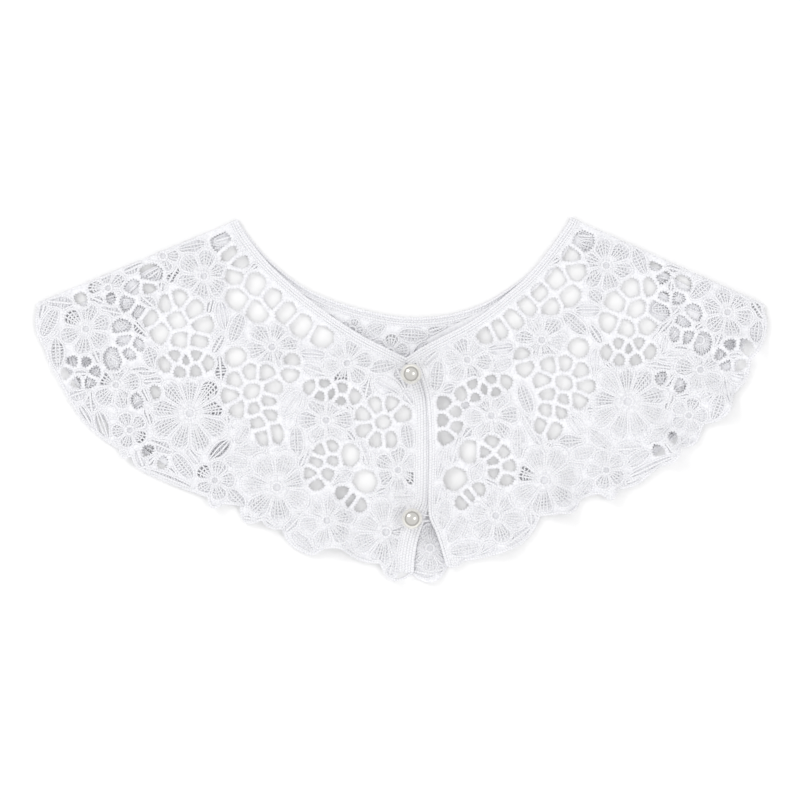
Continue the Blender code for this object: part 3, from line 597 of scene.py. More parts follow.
def dressBlade(blade, cords, net, holes, style, dents, marks, openKind):
    # Rim cord, then ribs and cross threads over a dent in the cloth or over a hole in its outer part.
    # Styles: net has cross threads, veined has ribs alone, satin has ribs and is never cut through
    isPetal = blade["kind"] == "petal"
    low, high, share, holeLow, holeHigh = windows[blade["kind"]]

    def at(s, t):
        return blade["point"](blade, s, t)

    if isPetal:
        t, cross = np.linspace(0.05, 0.965, 14), np.linspace(-0.93, 0.93, 13)
        rim = np.vstack([at(np.full(14, -0.93), t), at(cross, np.full(13, 0.965)),
                         at(np.full(14, 0.93), t[::-1])])
        rim, half = evenly(softened(evenly(rim, 0.5), 3), lace["cordStep"]), lace["cordHalf"]
    else:
        rim, half = bladeLoop(blade, 0.88, 0.03, 0.97, lace["cordStep"]), lace["cordHalf"] * 0.9
    addStrand(cords, rim, lace["cordAt"], half, lace["cordTall"], not isPetal, lace["rimWobble"])
    ends = at(np.array([-share, share, 0.0, 0.0]), np.array([0.62, 0.62, low, high]))
    width, length = np.linalg.norm(ends[0] - ends[1]), np.linalg.norm(ends[2] - ends[3])
    if width < motif["netWidth"] or length < motif["netLength"]:
        spine = evenly(at(np.zeros(10), np.linspace(0.1, 0.9, 10)), 1.2)
        addStrand(net, spine, lace["cordAt"], lace["netHalf"], lace["netTall"])
        return
    stamp(dents[min(openKind, 1)], bladeLoop(blade, share, low, high, 1.0))
    if openKind == 2 and style != "satin":
        holes.append(bladeLoop(blade, share - 0.04, holeLow, holeHigh, 1.0))
    else:
        marks.append(bladeLoop(blade, share, low, high, 0.9))
    ribs = max(1, int(round(width / lace["netPitch"])) - (0 if isPetal else 1))
    along = np.linspace(low - 0.16 if isPetal else 0.05, high + 0.1, 12)
    for s in np.linspace(-share, share, ribs + 2)[1:-1]:
        middleRib = abs(s) < 0.01 and not isPetal
        line = evenly(at(np.full(12, s + dice.uniform(-0.05, 0.05)), along), lace["netStep"])
        addStrand(net, line, lace["netAt"] + (0.12 if middleRib else 0),
                  lace["netHalf"] * (1.5 if middleRib else 1.0), lace["netTall"])
    if style == "net":
        rows = max(1, int(round(length / (lace["netPitch"] * 0.95))) - 1)
        cross = np.linspace(-share - 0.12, share + 0.12, 9)
        for t in np.linspace(low, high, rows + 2)[1:-1]:
            tilt = np.linspace(-1, 1, 9) * dice.uniform(-0.025, 0.025)
            addStrand(net, evenly(at(cross, t + tilt), lace["netStep"]), lace["netAt"] - 0.04,
                      lace["netHalf"] * 0.95, lace["netTall"])


def growHole(centre, taken):
    # A small gap between motifs: rays that stop short of what is around it
    angles = 2 * math.pi * np.arange(10) / 10
    reach = reachFrom(centre, angles, motif["holeReach"], taken) - motif["holeRoom"]
    reach = np.minimum(reach, (np.roll(reach, 1) + np.roll(reach, -1)) / 2 + 0.3)
    if reach.mean() < 0.5 or reach.min() < 0.15:
        return None
    return serrated(smoothLine(centre + circle(10) * reach[:, None], 0.6, True), 0.14)


def drawLace(layer, outline, gaps, plain=None, most=420):
    # Fills a panel with motifs, then where room is left with at most so many leaves and small holes.
    # Relief of cords = dome over each blade; relief of the sheet = that dome less the dents under the nets
    panel = np.zeros(raster["shape"], bool)
    stamp(panel, outline)
    taken = ~panel
    for loop in gaps:
        stamp(taken, loop)
    taken = grown(taken, lace["gapRoom"])
    for side in ("left", "right"):
        if layer in (side, "back"):
            # The back's motifs end at the folds, a front's go on round its own
            limit = 0.8 if layer == "back" else -1.2
            taken |= (pastFold(side, middles.reshape(-1, 2)) < limit).reshape(taken.shape)
    if plain is not None:
        stamp(taken, plain)
    cords, net, holes, marks, blades = [], [], [], [], []
    bladeMask, dents = np.zeros(raster["shape"], bool), np.zeros((2, *raster["shape"]), bool)

    def keep(found):
        fresh = np.zeros(raster["shape"], bool)
        for blade in found:
            stamp(fresh, bladeLoop(blade, 1.0, 0.0, 1.0, 0.8))
        bladeMask[fresh] = True
        taken[grown(fresh, 0.5)] = True
        blades.extend(found)

    flowers, leaves = motifsOf(layer)
    for centre, radius, petals, turn in flowers:
        found = growFlower(centre, radius, petals, turn, taken)
        if found:
            eye, ring = max(1.3, 0.055 * radius + 0.65), circle(18)
            stamp(dents[1], centre + ring * (eye + 0.2))
            marks.append(centre + ring * eye)
            addStrand(cords, centre + ring * (eye + 0.8), lace["cordAt"] + 0.12, 0.85, 0.5, True,
                      lace["eyeWobble"])
            keep(found)
            stamp(taken, centre + ring * (eye + 1.9))
    for centre, length, width, turn in leaves:
        keep(growLeaf(centre, length, width, turn, taken))
    for blade in blades:
        style = "net" if blade["kind"] == "petal" or dice.random() < motif["netShare"] else "veined"
        middle = blade["point"](blade, np.zeros(1), np.full(1, 0.6))[0]
        dressBlade(blade, cords, net, holes, style, dents, marks, opensAt(layer, middle))
    main = len(blades)
    for _ in range(most):
        depth = depthIn(~taken)
        row, col = np.unravel_index(depth.argmax(), depth.shape)
        room, centre = depth[row, col], middles[row, col]
        if room < motif["fillLeast"]:
            break
        found = []
        if room > motif["fillLeaf"]:
            angles = np.arange(12) * math.pi / 12 + dice.uniform(0, 0.2)
            spans = reachFrom(centre, angles, 9.0, taken) + reachFrom(centre, angles + math.pi, 9.0, taken)
            width = min(2.6 * room, motif["fillWidth"])
            found = growLeaf(centre, motif["fillLength"], width, angles[spans.argmax()], taken)
        if found:
            keep(found)
            bare = ("veined", "satin")
            style = "net" if dice.random() < motif["netShare"] else bare[int(dice.integers(0, 2))]
            dressBlade(found[0], cords, net, holes, style, dents, marks, opensAt(layer, centre))
            continue
        hole = growHole(centre, taken)
        if hole is not None and room > motif["fillHole"]:
            holes.append(hole)
        elif hole is not None:
            stamp(dents[1], hole)
            marks.append(hole)
        stamp(taken, centre + circle(12) * max(1.2, room))
    cordPoints, netPoints = (sum(len(strand[0]) for strand in bag) for bag in (cords, net))
    print("lace", layer, "cord points", cordPoints, "net points", netPoints)
    print("lace", layer, "motif blades", main, "fill", len(blades) - main, "holes", len(holes))
    relief = lace["petalDome"] * blurred(ease(depthIn(bladeMask) / 3.2), 3)
    sunk = sum(depth * blurred(dent.astype(float), 1) for depth, dent in zip(lace["dents"], dents))
    return cords, net, holes, marks, relief, relief * (backLace["dome"] if layer == "back" else 1.0) - sunk


def putMesh(name, points, faceSets, uvSets=None, smooth=True):
    # Points in mm and arrays of faces with three, four or more corners each, put straight into a mesh
    mesh = bpy.data.meshes.new(name)
    corners = np.concatenate([faces.ravel() for faces in faceSets]).astype(np.int32)
    sizes = np.concatenate([np.full(len(faces), faces.shape[1]) for faces in faceSets]).astype(np.int32)
    mesh.vertices.add(len(points))
    mesh.vertices.foreach_set("co", (np.asarray(points) * 0.001).astype(np.float32).ravel())
    mesh.loops.add(len(corners))
    mesh.loops.foreach_set("vertex_index", corners)
    mesh.polygons.add(len(sizes))
    mesh.polygons.foreach_set("loop_start", (np.cumsum(sizes) - sizes).astype(np.int32))
    mesh.polygons.foreach_set("loop_total", sizes)
    if uvSets is not None:
        layer = mesh.uv_layers.new(name="thread")
        layer.data.foreach_set("uv", np.concatenate([uv.ravel() for uv in uvSets]).astype(np.float32))
    mesh.update(calc_edges=True)
    mesh.validate()
    mesh.polygons.foreach_set("use_smooth", np.full(len(mesh.polygons), smooth))
    thing = bpy.data.objects.new(name, mesh)
    bpy.context.scene.collection.objects.link(thing)
    return thing


def ringQuads(rows, sides, count):
    # Quads from each ring of points to the next. With as many rows as rings the last joins the first
    i, j = (axis.ravel() for axis in np.meshgrid(np.arange(rows), np.arange(sides), indexing="ij"))
    nextI, nextJ = (i + 1) % count, (j + 1) % sides
    return np.column_stack([i * sides + j, nextI * sides + j, nextI * sides + nextJ, i * sides + nextJ])


def endCaps(sides, count):
    # One face on the first of count rings and one on the last, both turned outwards
    return np.vstack([np.arange(sides), (count - 1) * sides + np.arange(sides)[::-1]])


def buildStrands(name, bag, sides, lay, relief):
    # Ring point = path + normal half cos(a) in the plan, and height + tall sin(a); quads join the rings.
    # UV: mm along the strand, share of the way round it
    angle = 2 * math.pi * (np.arange(sides) + 0.5) / sides
    plans, heights, quads, uvs, caps, start = [], [], [], [], [], 0
    for path, at, half, tall, closed in bag:
        count = len(path)
        across = normalsOf(path, closed)[:, None] * (half[:, None] * np.cos(angle))[..., None]
        lift = at if relief is None else at + sampled(relief, path)
        plans.append((path[:, None] + across).reshape(-1, 2))
        heights.append((lift[:, None] + tall[:, None] * np.sin(angle)).ravel())
        found = ringQuads(count if closed else count - 1, sides, count)
        quads.append(start + found)
        step = np.linalg.norm(path[1] - path[0])
        u, v = found[:, 0] // sides * step, found[:, 0] % sides / sides
        nextU, nextV = u + step, v + 1 / sides
        uvs.append(np.stack([np.stack([u, nextU, nextU, u], 1), np.stack([v, v, nextV, nextV], 1)], axis=-1))
        if not closed:
            caps.append(start + endCaps(sides, count))
        start += count * sides
    faceSets, uvSets = [np.vstack(quads)], [np.vstack(uvs)]
    if caps:
        faceSets.append(np.vstack(caps))
        uvSets.append(np.zeros((*faceSets[1].shape, 2)))
    return putMesh(name, lay(np.vstack(plans), np.concatenate(heights)), faceSets, uvSets)


def sheetOffers(loops, marks, foldSides, coarse):
    # Places that may carry a point: beside each rim, on the marks, across a fold, and on a triangle grid
    offers = []
    for number, loop in enumerate(loops):
        nexts = np.roll(loop, -1, 0)
        area = np.sum(loop[:, 0] * nexts[:, 1] - nexts[:, 0] * loop[:, 1])
        outward = normalsOf(loop, True) * (1.0 if area > 0 else -1.0)
        offers.append(loop + outward * (0.5 if number else -0.6))
    offers += list(marks)
    x, y = np.meshgrid(np.arange(-195, 195, coarse), np.arange(-98, 98, coarse * 0.87))
    x = x + (np.arange(x.shape[0]) % 2 * coarse / 2)[:, None]
    grid = np.column_stack([x.ravel(), y.ravel()])
    for side in foldSides:
        start, inward = foldLine(side)
        along = np.array([-inward[1], inward[0]])
        grid = grid[(grid - start) @ inward > 1.2]
        run = np.arange(-120, 120, 2.0)
        for part in cloth["foldParts"]:
            offers.append(start - inward * rollDepth * part + along * run[:, None])
    return np.vstack([*offers, grid])


def buildSheet(name, outline, holes, lay, relief, marks=(), foldSides=(), low=lace["low"], high=lace["high"],
               coarse=1.2):
    # A thin closed shell: triangles between the outline and the holes, low at the rims, full height inside.
    # Its cut is the area of the flat triangles
    loops = [outline] + holes
    rims = np.vstack(loops)
    tree = KDTree(len(rims))
    for index, (x, y) in enumerate(rims.tolist()):
        tree.insert((x, y, 0.0), index)
    tree.balance()
    offers = sheetOffers(loops, marks, foldSides, coarse)
    offers = offers[insideLoop(offers, outline)]
    kept, used = [], set()
    for x, y in offers.tolist():
        key = (int(x // 0.5), int(y // 0.5))
        if key not in used and tree.find((x, y, 0.0))[2] > 0.36:
            used.add(key)
            kept.append((x, y))
    edges, start = [], 0
    for loop in loops:
        count = len(loop)
        edges += [(start + k, start + (k + 1) % count) for k in range(count)]
        start += count
    flat = rims.tolist() + kept
    result = delaunay_2d_cdt([Vector(p) for p in flat], edges, [], 0, 1e-5)
    plan = np.array([tuple(v) for v in result[0]])
    isRim = np.array([any(k < len(rims) for k in source) or not source for source in result[3]])
    corners = np.array([tuple(face) for face in result[2]])
    heart = plan[corners].mean(axis=1)
    keep = insideLoop(heart, outline)
    for loop in holes:
        near = np.nonzero(keep & (heart > loop.min(0)).all(axis=1) & (heart < loop.max(0)).all(axis=1))[0]
        if len(near):
            keep[near[insideLoop(heart[near], loop)]] = False
    corners = corners[keep]
    a, b, c = (plan[corners[:, k]] for k in range(3))
    area = (b[:, 0] - a[:, 0]) * (c[:, 1] - a[:, 1]) - (b[:, 1] - a[:, 1]) * (c[:, 0] - a[:, 0])
    corners[area < 0] = corners[area < 0][:, ::-1]
    cut = float(np.abs(area).sum() / 2)
    used, corners = np.unique(corners, return_inverse=True)
    corners = corners.reshape(-1, 3)
    plan, isRim, count = plan[used], isRim[used], len(used)
    directed = np.vstack([corners[:, [0, 1]], corners[:, [1, 2]], corners[:, [2, 0]]])
    codes = directed[:, 0] * count + directed[:, 1]
    border = directed[~np.isin(codes, directed[:, 1] * count + directed[:, 0])]
    top = np.where(isRim, lace["rimHigh"], high) + dice.normal(0.0, lace["rough"], count) * ~isRim
    top = np.maximum(top + sampled(relief, plan), low + 0.15)
    points = np.vstack([lay(plan, top), lay(plan, np.full(count, low))])
    walls = np.column_stack([border[:, 0], border[:, 0] + count, border[:, 1] + count, border[:, 1]])
    thing = putMesh(name, points, [np.vstack([corners, corners[:, ::-1] + count]), walls])
    print("sheet", name, "triangles", 2 * len(corners) + 2 * len(border), "cut area mm2", round(cut))
    return thing, cut


# Materials
def linear(code):
    # sRGB hex to linear colour
    parts = [int(code[k:k + 2], 16) / 255 for k in (1, 3, 5)]
    return tuple(p / 12.92 if p <= 0.04045 else ((p + 0.055) / 1.055) ** 2.4 for p in parts) + (1.0,)


def addNode(tree, kind, settings=None, **links):
    # Adds a node; settings go to its properties or sockets, links join its inputs to other nodes' outputs.
    # A link is named after its socket, or in0, in1 by the socket's number
    node = tree.nodes.new(kind)
    for key, value in (settings or {}).items():
        if isinstance(key, str) and hasattr(node, key):
            setattr(node, key, value)
        else:
            node.inputs[key].default_value = value
    for key, source in links.items():
        number = key[2:]
        tree.links.new(source, node.inputs[int(number) if number.isdigit() else key])
    return node


def setInputs(node, values):
    # Values straight on a node's sockets
    for key, value in values.items():
        node.inputs[key].default_value = value


def newMaterial(name):
    # A material with its node tree and its shader
    material = bpy.data.materials.new(name)
    material.use_nodes = True
    tree = material.node_tree
    return material, tree, tree.nodes["Principled BSDF"]


# Guipure lace: bright trilobal polyester thread, stitched close on a ground that is washed away
# The second tint is painted shade, for the valleys between stitches
thread = {"white": "#F6F6F9", "paintedShade": "#E8E8ED", "roughness": 0.62, "sheen": 0.15, "stitchPitch": 1.35,
          "scatter": 0.15}


def threadMaterial(name, alongStrand, strength):
    # Satin stitches: sin(2 pi (u + 0.35 v) / pitch) across a strand, small cells on cloth, and fine fibres.
    # The real thread is 0.3 mm thick. It is drawn 1.35 mm apart, so that it shows
    material, tree, shader = newMaterial(name)
    # Light goes a little way into white thread, and its surface is silky at a low angle
    setInputs(shader, {"Roughness": thread["roughness"], "Specular IOR Level": 0.35,
                       "Sheen Weight": thread["sheen"], "Sheen Roughness": 0.4,
                       "Subsurface Weight": thread["scatter"], "Subsurface Radius": (1.0, 1.0, 1.0),
                       "Subsurface Scale": 0.0005})
    spot = addNode(tree, "ShaderNodeTexCoord").outputs["Object"]
    fibre = addNode(tree, "ShaderNodeTexNoise", {"Scale": 1100.0, "Detail": 3.0}, Vector=spot)
    if alongStrand:
        uv = addNode(tree, "ShaderNodeUVMap", {"uv_map": "thread"})
        parts = addNode(tree, "ShaderNodeSeparateXYZ", Vector=uv.outputs["UV"])
        slant = addNode(tree, "ShaderNodeMath", {"operation": "MULTIPLY_ADD", 1: 0.35},
                        in0=parts.outputs["Y"], in2=parts.outputs["X"])
        perTurn = 2 * math.pi / thread["stitchPitch"]
        turns = addNode(tree, "ShaderNodeMath", {"operation": "MULTIPLY", 1: perTurn},
                        in0=slant.outputs["Value"])
        stitch = addNode(tree, "ShaderNodeMath", {"operation": "SINE"}, in0=turns.outputs["Value"])
    else:
        cells = 1000 / thread["stitchPitch"] / 1.6
        stitch = addNode(tree, "ShaderNodeTexVoronoi", {"Scale": cells}, Vector=spot)
    both = addNode(tree, "ShaderNodeMath", {"operation": "MULTIPLY_ADD", 1: 0.22},
                   in0=stitch.outputs[0], in2=fibre.outputs["Fac"]).outputs["Value"]
    # Painted shade: the valleys between stitches are painted a little darker than the crests, as if shade
    # fell in them; the fibre noise adds a tone that differs at random
    ramp = addNode(tree, "ShaderNodeValToRGB", Fac=both)
    stops = (0.22, 0.55) if alongStrand else (0.4, 0.68)
    for element, stop, tint in zip(ramp.color_ramp.elements, stops, ("paintedShade", "white")):
        element.position = stop
        element.color = linear(thread[tint])
    tree.links.new(ramp.outputs["Color"], shader.inputs["Base Color"])
    bump = addNode(tree, "ShaderNodeBump", {"Strength": strength, "Distance": 0.0005}, Height=both)
    tree.links.new(bump.outputs["Normal"], shader.inputs["Normal"])
    return material


cordThread = threadMaterial("satin stitched polyester cord", True, 0.6)
netThread = threadMaterial("twisted polyester net thread", True, 0.35)
groundThread = threadMaterial("close stitched polyester ground", False, 0.5)


def finishPiece(thing, material, nodes=()):
    # Every piece rides on the one rigid body; some take the place of CAD nodes
    thing.data.materials.append(material)
    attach(thing, "root")
    if nodes:
        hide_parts(*nodes)
    return thing


# Panels
def edgePath(side, points, step):
    # A front's edge from the end of its roll, round the fold and on down the front
    path = smoothLine(place(points), step)
    path = path[pastFold(side, path) > 1.0]
    return np.vstack([rollRow(side, path[0])[::-1], path])


def beside(path, toward, offset, step):
    # The line beside a path, at an offset in mm
    return evenly(path + normalsOf(path) * toward * offset, step)


# Bands and centre edges in mm. Each cord: offset from the edge, height, half width, half height. The middle
# of a front's band is a cord, that of the back's a thin ground with rungs. The left centre is a corded strip
braid = {"cords": ((0.8, 0.74, 0.8, 0.6), (3.5, 0.74, 0.72, 0.5), (4.6, 0.74, 0.5, 0.4)),
         "middle": (2.15, 0.68, 0.8, 0.5), "ground": (2.2, 0.5, 1.5, 0.3),
         "rungs": (1.1, 3.4), "rungPitch": 1.9, "rung": (0.62, 0.8, 0.4),
         "left": ((0.9, 0.72, 0.95, 0.55), (2.5, 0.72, 0.8, 0.42), (4.0, 0.72, 0.85, 0.36),
                  (5.6, 0.72, 0.85, 0.42), (7.1, 0.72, 0.8, 0.36), (8.4, 0.72, 0.65, 0.45)),
         "right": ((0.85, 0.72, 0.85, 0.55), (2.3, 0.72, 0.7, 0.45))}


def addCords(bag, path, toward, rows, step, wobble):
    # One strand for each row of the braid table
    for offset, at, half, tall in rows:
        addStrand(bag, beside(path, toward, offset, step), at, half, tall, wobble=wobble)


def bandStrands(path, toward, ladder):
    # Side by side cords, or an edge cord with ladder rungs to a second cord over a thin ground
    bag = []
    addCords(bag, path, toward, braid["cords"], 0.5, lace["wobble"])
    if not ladder:
        addCords(bag, path, toward, (braid["middle"],), 0.5, lace["wobble"])
        return bag
    addCords(bag, path, toward, (braid["ground"],), 0.7, 0.0)
    for a, b in zip(*(beside(path, toward, offset, braid["rungPitch"]) for offset in braid["rungs"])):
        addStrand(bag, np.array([a, (a + b) / 2, b]), *braid["rung"])
    return bag


gaps = {side: gapLoops("front_" + side) for side in ("left", "right")}
print("gaps read", {side: len(loops) for side, loops in gaps.items()})
outlines = {"left": frontOutline("left"), "right": frontOutline("right"), "back": backOutline()}
panels = {}
for side, sign in sideSign.items():
    node, lay = "front_" + side, layers[side]
    gaps[side] = widened(gaps[side], side, outlines[side])
    rims = [serrated(evenly(loop, lace["picotStep"], True), lace["picot"]) for loop in gaps[side]]
    cords, net, holes, marks, relief, sheetRelief = drawLace(side, outlines[side], rims)
    sheet, cut = buildSheet(node + "_lace", outlines[side], rims + holes, lay, sheetRelief, marks, (side,))
    finishPiece(sheet, groundThread, (node,))
    hem = hemLine(hems[side], sign)
    hem = hem[pastFold(side, hem) > 0.6]
    hemCord = evenly(softened(hem - normalsOf(hem) * sign * 0.75, 1), 0.9)
    addStrand(cords, hemCord, lace["cordAt"], 0.7, 0.45, wobble=lace["wobble"])
    trim = [finishPiece(buildStrands(node + "_cords", cords, 5, lay, relief), cordThread),
            finishPiece(buildStrands(node + "_net", net, 4, lay, relief), netThread)]
    neck = bandStrands(edgePath(side, necks[side], 0.9), sign, False)
    band = buildStrands("neck_band_" + side + "_braid", neck, 6, lay, None)
    trim.append(finishPiece(band, cordThread, ("neck_band_" + side,)))
    panels[side] = (sheet, cut, trim)

for side, sign in sideSign.items():
    bag = []
    addCords(bag, smoothLine(place(centres[side]), 0.9)[1:], sign, braid[side], 0.6, 0.16)
    edge = buildStrands("front_edge_" + side + "_braid", bag, 8, layers[side], None)
    panels[side][2].append(finishPiece(edge, cordThread, ("front_edge_" + side,)))
    print("centre edge", side, "cords", len(bag))

# The back: the fronts' gaps go through it, a little wider, where they are clear of each other and of the
# folds. A smooth tape faces its neck edge on the right
backGap = {"wider": 0.25, "reach": 132.0, "foldRoom": 4.0, "apart": 0.5}
tape = {"line": ((428, 345), (452, 332), (492, 311), (534, 283), (560, 251), (574, 227)), "width": 6.2,
        "at": 1.39, "tall": 0.06}
backGaps = []
for loop in gaps["left"] + gaps["right"]:
    arm = loop - loop.mean(0)
    wider = loop + arm / np.linalg.norm(arm, axis=1)[:, None] * backGap["wider"]
    clear = min(pastFold(side, wider).min() for side in sideSign) > backGap["foldRoom"]
    if clear and abs(wider.mean(0)[0]) < backGap["reach"] and insideLoop(wider, outlines["back"]).all():
        apart = [np.linalg.norm(wider[:, None] - other[None], axis=2).min() for other in backGaps]
        if min(apart, default=backGap["apart"]) >= backGap["apart"]:
            backGaps.append(wider)
backRims = [smoothLine(loop, 1.2, True) for loop in backGaps]
tapeLine = smoothLine(place(tape["line"]), 2.0)
tapeSide = normalsOf(tapeLine) * tape["width"] / 2
tapeLoop = np.vstack([tapeLine + tapeSide, (tapeLine - tapeSide)[::-1]])
cords, net, holes, marks, relief, sheetRelief = drawLace("back", outlines["back"], backRims, tapeLoop,
                                                         backLace["fills"])
backSheet, backCut = buildSheet("back_lace", outlines["back"], backRims + holes, layBack, sheetRelief, marks,
                                low=backLace["low"], high=backLace["high"], coarse=backLace["coarse"])
finishPiece(backSheet, groundThread, ("back_panel",))
relief = relief * backLace["dome"]
backTrim = [finishPiece(buildStrands("back_cords", cords, 4, layBack, relief), cordThread),
            finishPiece(buildStrands("back_net", net, 4, layBack, relief), netThread)]
bag = []
addStrand(bag, evenly(tapeLine, 1.0), tape["at"], tape["width"] / 2, tape["tall"])
tapeThread = threadMaterial("woven polyester satin tape", False, 0.08)
backTape = finishPiece(buildStrands("neck_tape", bag, 10, layBack, None), tapeThread)
neck = smoothLine(place(necks["back"]), 0.9)
neck = neck[np.minimum(pastFold("left", neck), pastFold("right", neck)) > 0.3]
backBand = buildStrands("neck_band_back_braid", bandStrands(neck, 1.0, True), 6, layBack, None)
backTrim += [finishPiece(backBand, cordThread, ("neck_band_back",)), backTape]
print("back band and tape, gaps through the back", len(backGaps))

# Pearl buttons: a plastic ball with pearl lacquer, sewn on through a short shank
# The ring and core tints are painted reflection of the dark room above the pearl; white is its cream, kept
# at the rim
pearl = {"radius": 5.5, "shank": 1.3, "foot": 3.2, "neck": 1.4, "sides": 48, "upper": (411.0, 374.0),
         "lower": (412.0, 518.0), "white": "#F2F0E8", "ring": "#B9B7B2", "paintedCore": "#DAD8D3", "coat": 1.0}


def pearlMaterial():
    # Injection moulded ABS under several coats of pearl lacquer: a soft body colour with painted reflection
    # in it, and a sharp real reflection in the coat on top
    material, tree, shader = newMaterial("pearl lacquered ABS")
    setInputs(shader, {"Roughness": 0.22, "Metallic": 0.8, "Subsurface Weight": 0.0,
                       "Coat Weight": pearl["coat"], "Coat Roughness": 0.1, "Coat IOR": 1.6})
    rim = addNode(tree, "ShaderNodeLayerWeight", {"Blend": 0.5})
    paintedReflection = addNode(tree, "ShaderNodeValToRGB", Fac=rim.outputs["Facing"])
    # Painted reflection by the angle of view: the cream is palest at the rim, with a painted reflection of
    # the white table, and greyer in a ring round the middle and in the core, a painted reflection of the
    # dark room above
    paintedReflection.color_ramp.elements[0].color = linear(pearl["paintedCore"])
    paintedReflection.color_ramp.elements[1].color = linear(pearl["white"])
    for stop, tint in ((0.13, "paintedCore"), (0.2, "ring"), (0.26, "ring"), (0.34, "white")):
        paintedReflection.color_ramp.elements.new(stop).color = linear(pearl[tint])
    tree.links.new(paintedReflection.outputs["Color"], shader.inputs["Base Color"])
    spot = addNode(tree, "ShaderNodeTexCoord").outputs["Object"]
    grain = addNode(tree, "ShaderNodeTexNoise", {"Scale": 250.0, "Detail": 1.0}, Vector=spot)
    bump = addNode(tree, "ShaderNodeBump", {"Strength": 0.05, "Distance": 0.0002},
                   Height=grain.outputs["Fac"])
    tree.links.new(bump.outputs["Normal"], shader.inputs["Normal"])
    return material


def buildPearl(name, spot, material, node):
    # A profile turned about Z: r = radius sin(a), z = middle - radius cos(a), with fans at both ends
    x, y = place(spot)
    radius, foot, sides = pearl["radius"], pearl["foot"], pearl["sides"]
    middle = foot + pearl["neck"] + radius
    angle = np.linspace(math.asin(pearl["shank"] / radius), math.pi, 30)[:-1]
    r = np.concatenate([[pearl["shank"], pearl["shank"] * 0.94], radius * np.sin(angle)])
    z = np.concatenate([[foot, foot + pearl["neck"] * 0.6], middle - radius * np.cos(angle)])
    turn = 2 * math.pi * np.arange(sides) / sides
    ring = np.stack([x + r[:, None] * np.cos(turn), y + r[:, None] * np.sin(turn),
                     np.repeat(z[:, None], sides, 1)], axis=-1).reshape(-1, 3)
    points = np.vstack([ring, [[x, y, foot], [x, y, middle + radius]]])
    quads = ringQuads(len(r) - 1, sides, len(r))[:, [0, 3, 2, 1]]
    k, last = np.arange(sides), (len(r) - 1) * sides
    fans = np.vstack([np.column_stack([np.full(sides, len(ring)), (k + 1) % sides, k]),
                      np.column_stack([np.full(sides, len(ring) + 1), last + k, last + (k + 1) % sides])])
    return finishPiece(putMesh(name, points, [quads, fans]), material, (node,))


# The loops' cord in mm: how it lies round a shank, and its two plies with the length of one twist
loopCord = {"turn": 2.3, "open": 0.62, "at": 3.55, "past": 0.4, "step": 0.22, "ply": 0.27, "apart": 0.24,
            "twist": 1.6, "sides": 8}


def sweep(points, radius, sides):
    # A round tube along a line in space: point + radius (across cos(a) + up sin(a))
    along = np.gradient(points, axis=0)
    along /= np.linalg.norm(along, axis=1)[:, None] + 1e-9
    across = np.cross(along, np.array([0.0, 0.0, 1.0]))
    across /= np.linalg.norm(across, axis=1)[:, None] + 1e-9
    up = np.cross(across, along)
    angle = 2 * math.pi * np.arange(sides) / sides
    ring = (points[:, None] + radius * (across[:, None] * np.cos(angle)[None, :, None]
                                        + up[:, None] * np.sin(angle)[None, :, None])).reshape(-1, 3)
    return ring, ringQuads(len(points) - 1, sides, len(points)), endCaps(sides, len(points))


def buildLoop(name, spot, node):
    # A two ply cord from the right front's edge round the shank: each ply winds round the loop's line
    x, y = place(spot)
    edge = smoothLine(place(centres["right"]), 1.0)
    edgeX = np.interp(-y, -edge[:, 1], edge[:, 0]) + loopCord["past"]
    turn = np.linspace(-math.pi * loopCord["open"], math.pi * loopCord["open"], 24) + math.pi
    ring = np.column_stack([x + loopCord["turn"] * np.cos(turn), y - loopCord["turn"] * np.sin(turn)])[::-1]
    line = np.vstack([[edgeX, ring[0, 1] * 0.6 + y * 0.4], ring, [edgeX, ring[-1, 1] * 0.6 + y * 0.4]])
    line = evenly(softened(evenly(line, 0.3), 2), loopCord["step"])
    wind = np.arange(len(line)) * loopCord["step"] * 2 * math.pi / loopCord["twist"]
    points, quads, caps, start = [], [], [], 0
    for phase in (0.0, math.pi):
        plan = line + normalsOf(line) * (loopCord["apart"] * np.cos(wind + phase))[:, None]
        height = loopCord["at"] + loopCord["apart"] * np.sin(wind + phase)
        ply, quad, cap = sweep(np.column_stack([plan, height]), loopCord["ply"], loopCord["sides"])
        points.append(ply)
        quads.append(quad + start)
        caps.append(cap + start)
        start += len(ply)
    thing = putMesh(name, np.vstack(points), [np.vstack(quads), np.vstack(caps)])
    return finishPiece(thing, loopThread, (node,))


loopThread = threadMaterial("two ply polyester loop cord", False, 0.3)
pearlFinish = pearlMaterial()
for which in ("upper", "lower"):
    buildPearl("pearl_" + which, pearl[which], pearlFinish, "pearl_button_" + which)
    buildLoop("loop_" + which, pearl[which], "button_loop_" + which)
    print("pearl and loop", which)

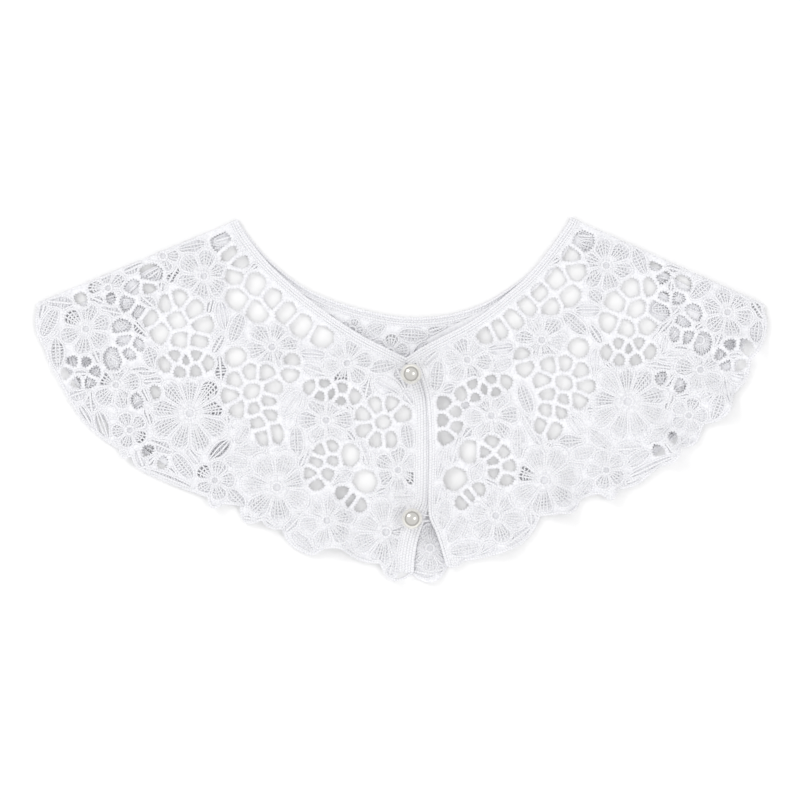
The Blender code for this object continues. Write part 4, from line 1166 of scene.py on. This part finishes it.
# Plain pale table, soft studio light and a camera straight above. Lengths in metres, the lens in mm
studio = {"floorSize": 12.0, "floorDrop": 0.0003, "floorWhite": 0.985,
          "world": 0.82, "key": 11.0, "fill": 4.4, "front": 9.0,
          "span": 0.4157, "lens": 130.0, "sensor": 36.0, "middle": (400.0, 400.0)}
floorMaterial, floorTree, floorShader = newMaterial("matt white paint")
setInputs(floorShader, {"Base Color": (*[studio["floorWhite"]] * 3, 1.0), "Roughness": 0.9})
half, drop = studio["floorSize"] / 2, -studio["floorDrop"]
floorCorners = np.array([[-half, -half, drop], [half, -half, drop], [half, half, drop], [-half, half, drop]])
floor = putMesh("table", floorCorners * 1000, [np.array([[0, 1, 2, 3]])], smooth=False)
floor.data.materials.append(floorMaterial)

world = bpy.data.worlds.new("studio")
bpy.context.scene.world = world
world.use_nodes = True
setInputs(world.node_tree.nodes["Background"], {"Color": (1.0, 1.0, 1.0, 1.0), "Strength": studio["world"]})


def addLight(name, spot, size, energy, mirrored):
    # A square lamp that looks at the collar. Only a mirrored one shows as a highlight on the pearls
    light = bpy.data.lights.new(name, "AREA")
    light.shape, light.size, light.energy = "SQUARE", size, energy
    thing = bpy.data.objects.new(name, light)
    thing.location = spot
    thing.visible_glossy = mirrored
    thing.rotation_euler = (-Vector(spot)).to_track_quat("-Z", "Y").to_euler()
    bpy.context.scene.collection.objects.link(thing)


addLight("key", (-1.4, 1.4, 1.6), 0.9, studio["key"], True)
addLight("fill right", (1.1, 0.1, 2.0), 0.8, studio["fill"], True)
addLight("front left", (-1.3, -1.9, 1.1), 1.3, studio["front"], False)
addLight("front right", (1.3, -1.9, 1.1), 1.3, studio["front"], False)
bpy.context.scene.view_settings.view_transform = "Standard"   # a product photo keeps its table pure white

camera = bpy.data.objects.new("camera", bpy.data.cameras.new("camera"))
bpy.context.scene.collection.objects.link(camera)
camera.data.lens, camera.data.sensor_width = studio["lens"], studio["sensor"]
x, y = place(studio["middle"]) * 0.001
camera.location = (x, y, 0.002 + studio["span"] * studio["lens"] / studio["sensor"])
camera.data.clip_start, camera.data.clip_end = 0.05, 20.0
bpy.context.scene.camera = camera
print("studio, camera height m", round(camera.location.z, 3))
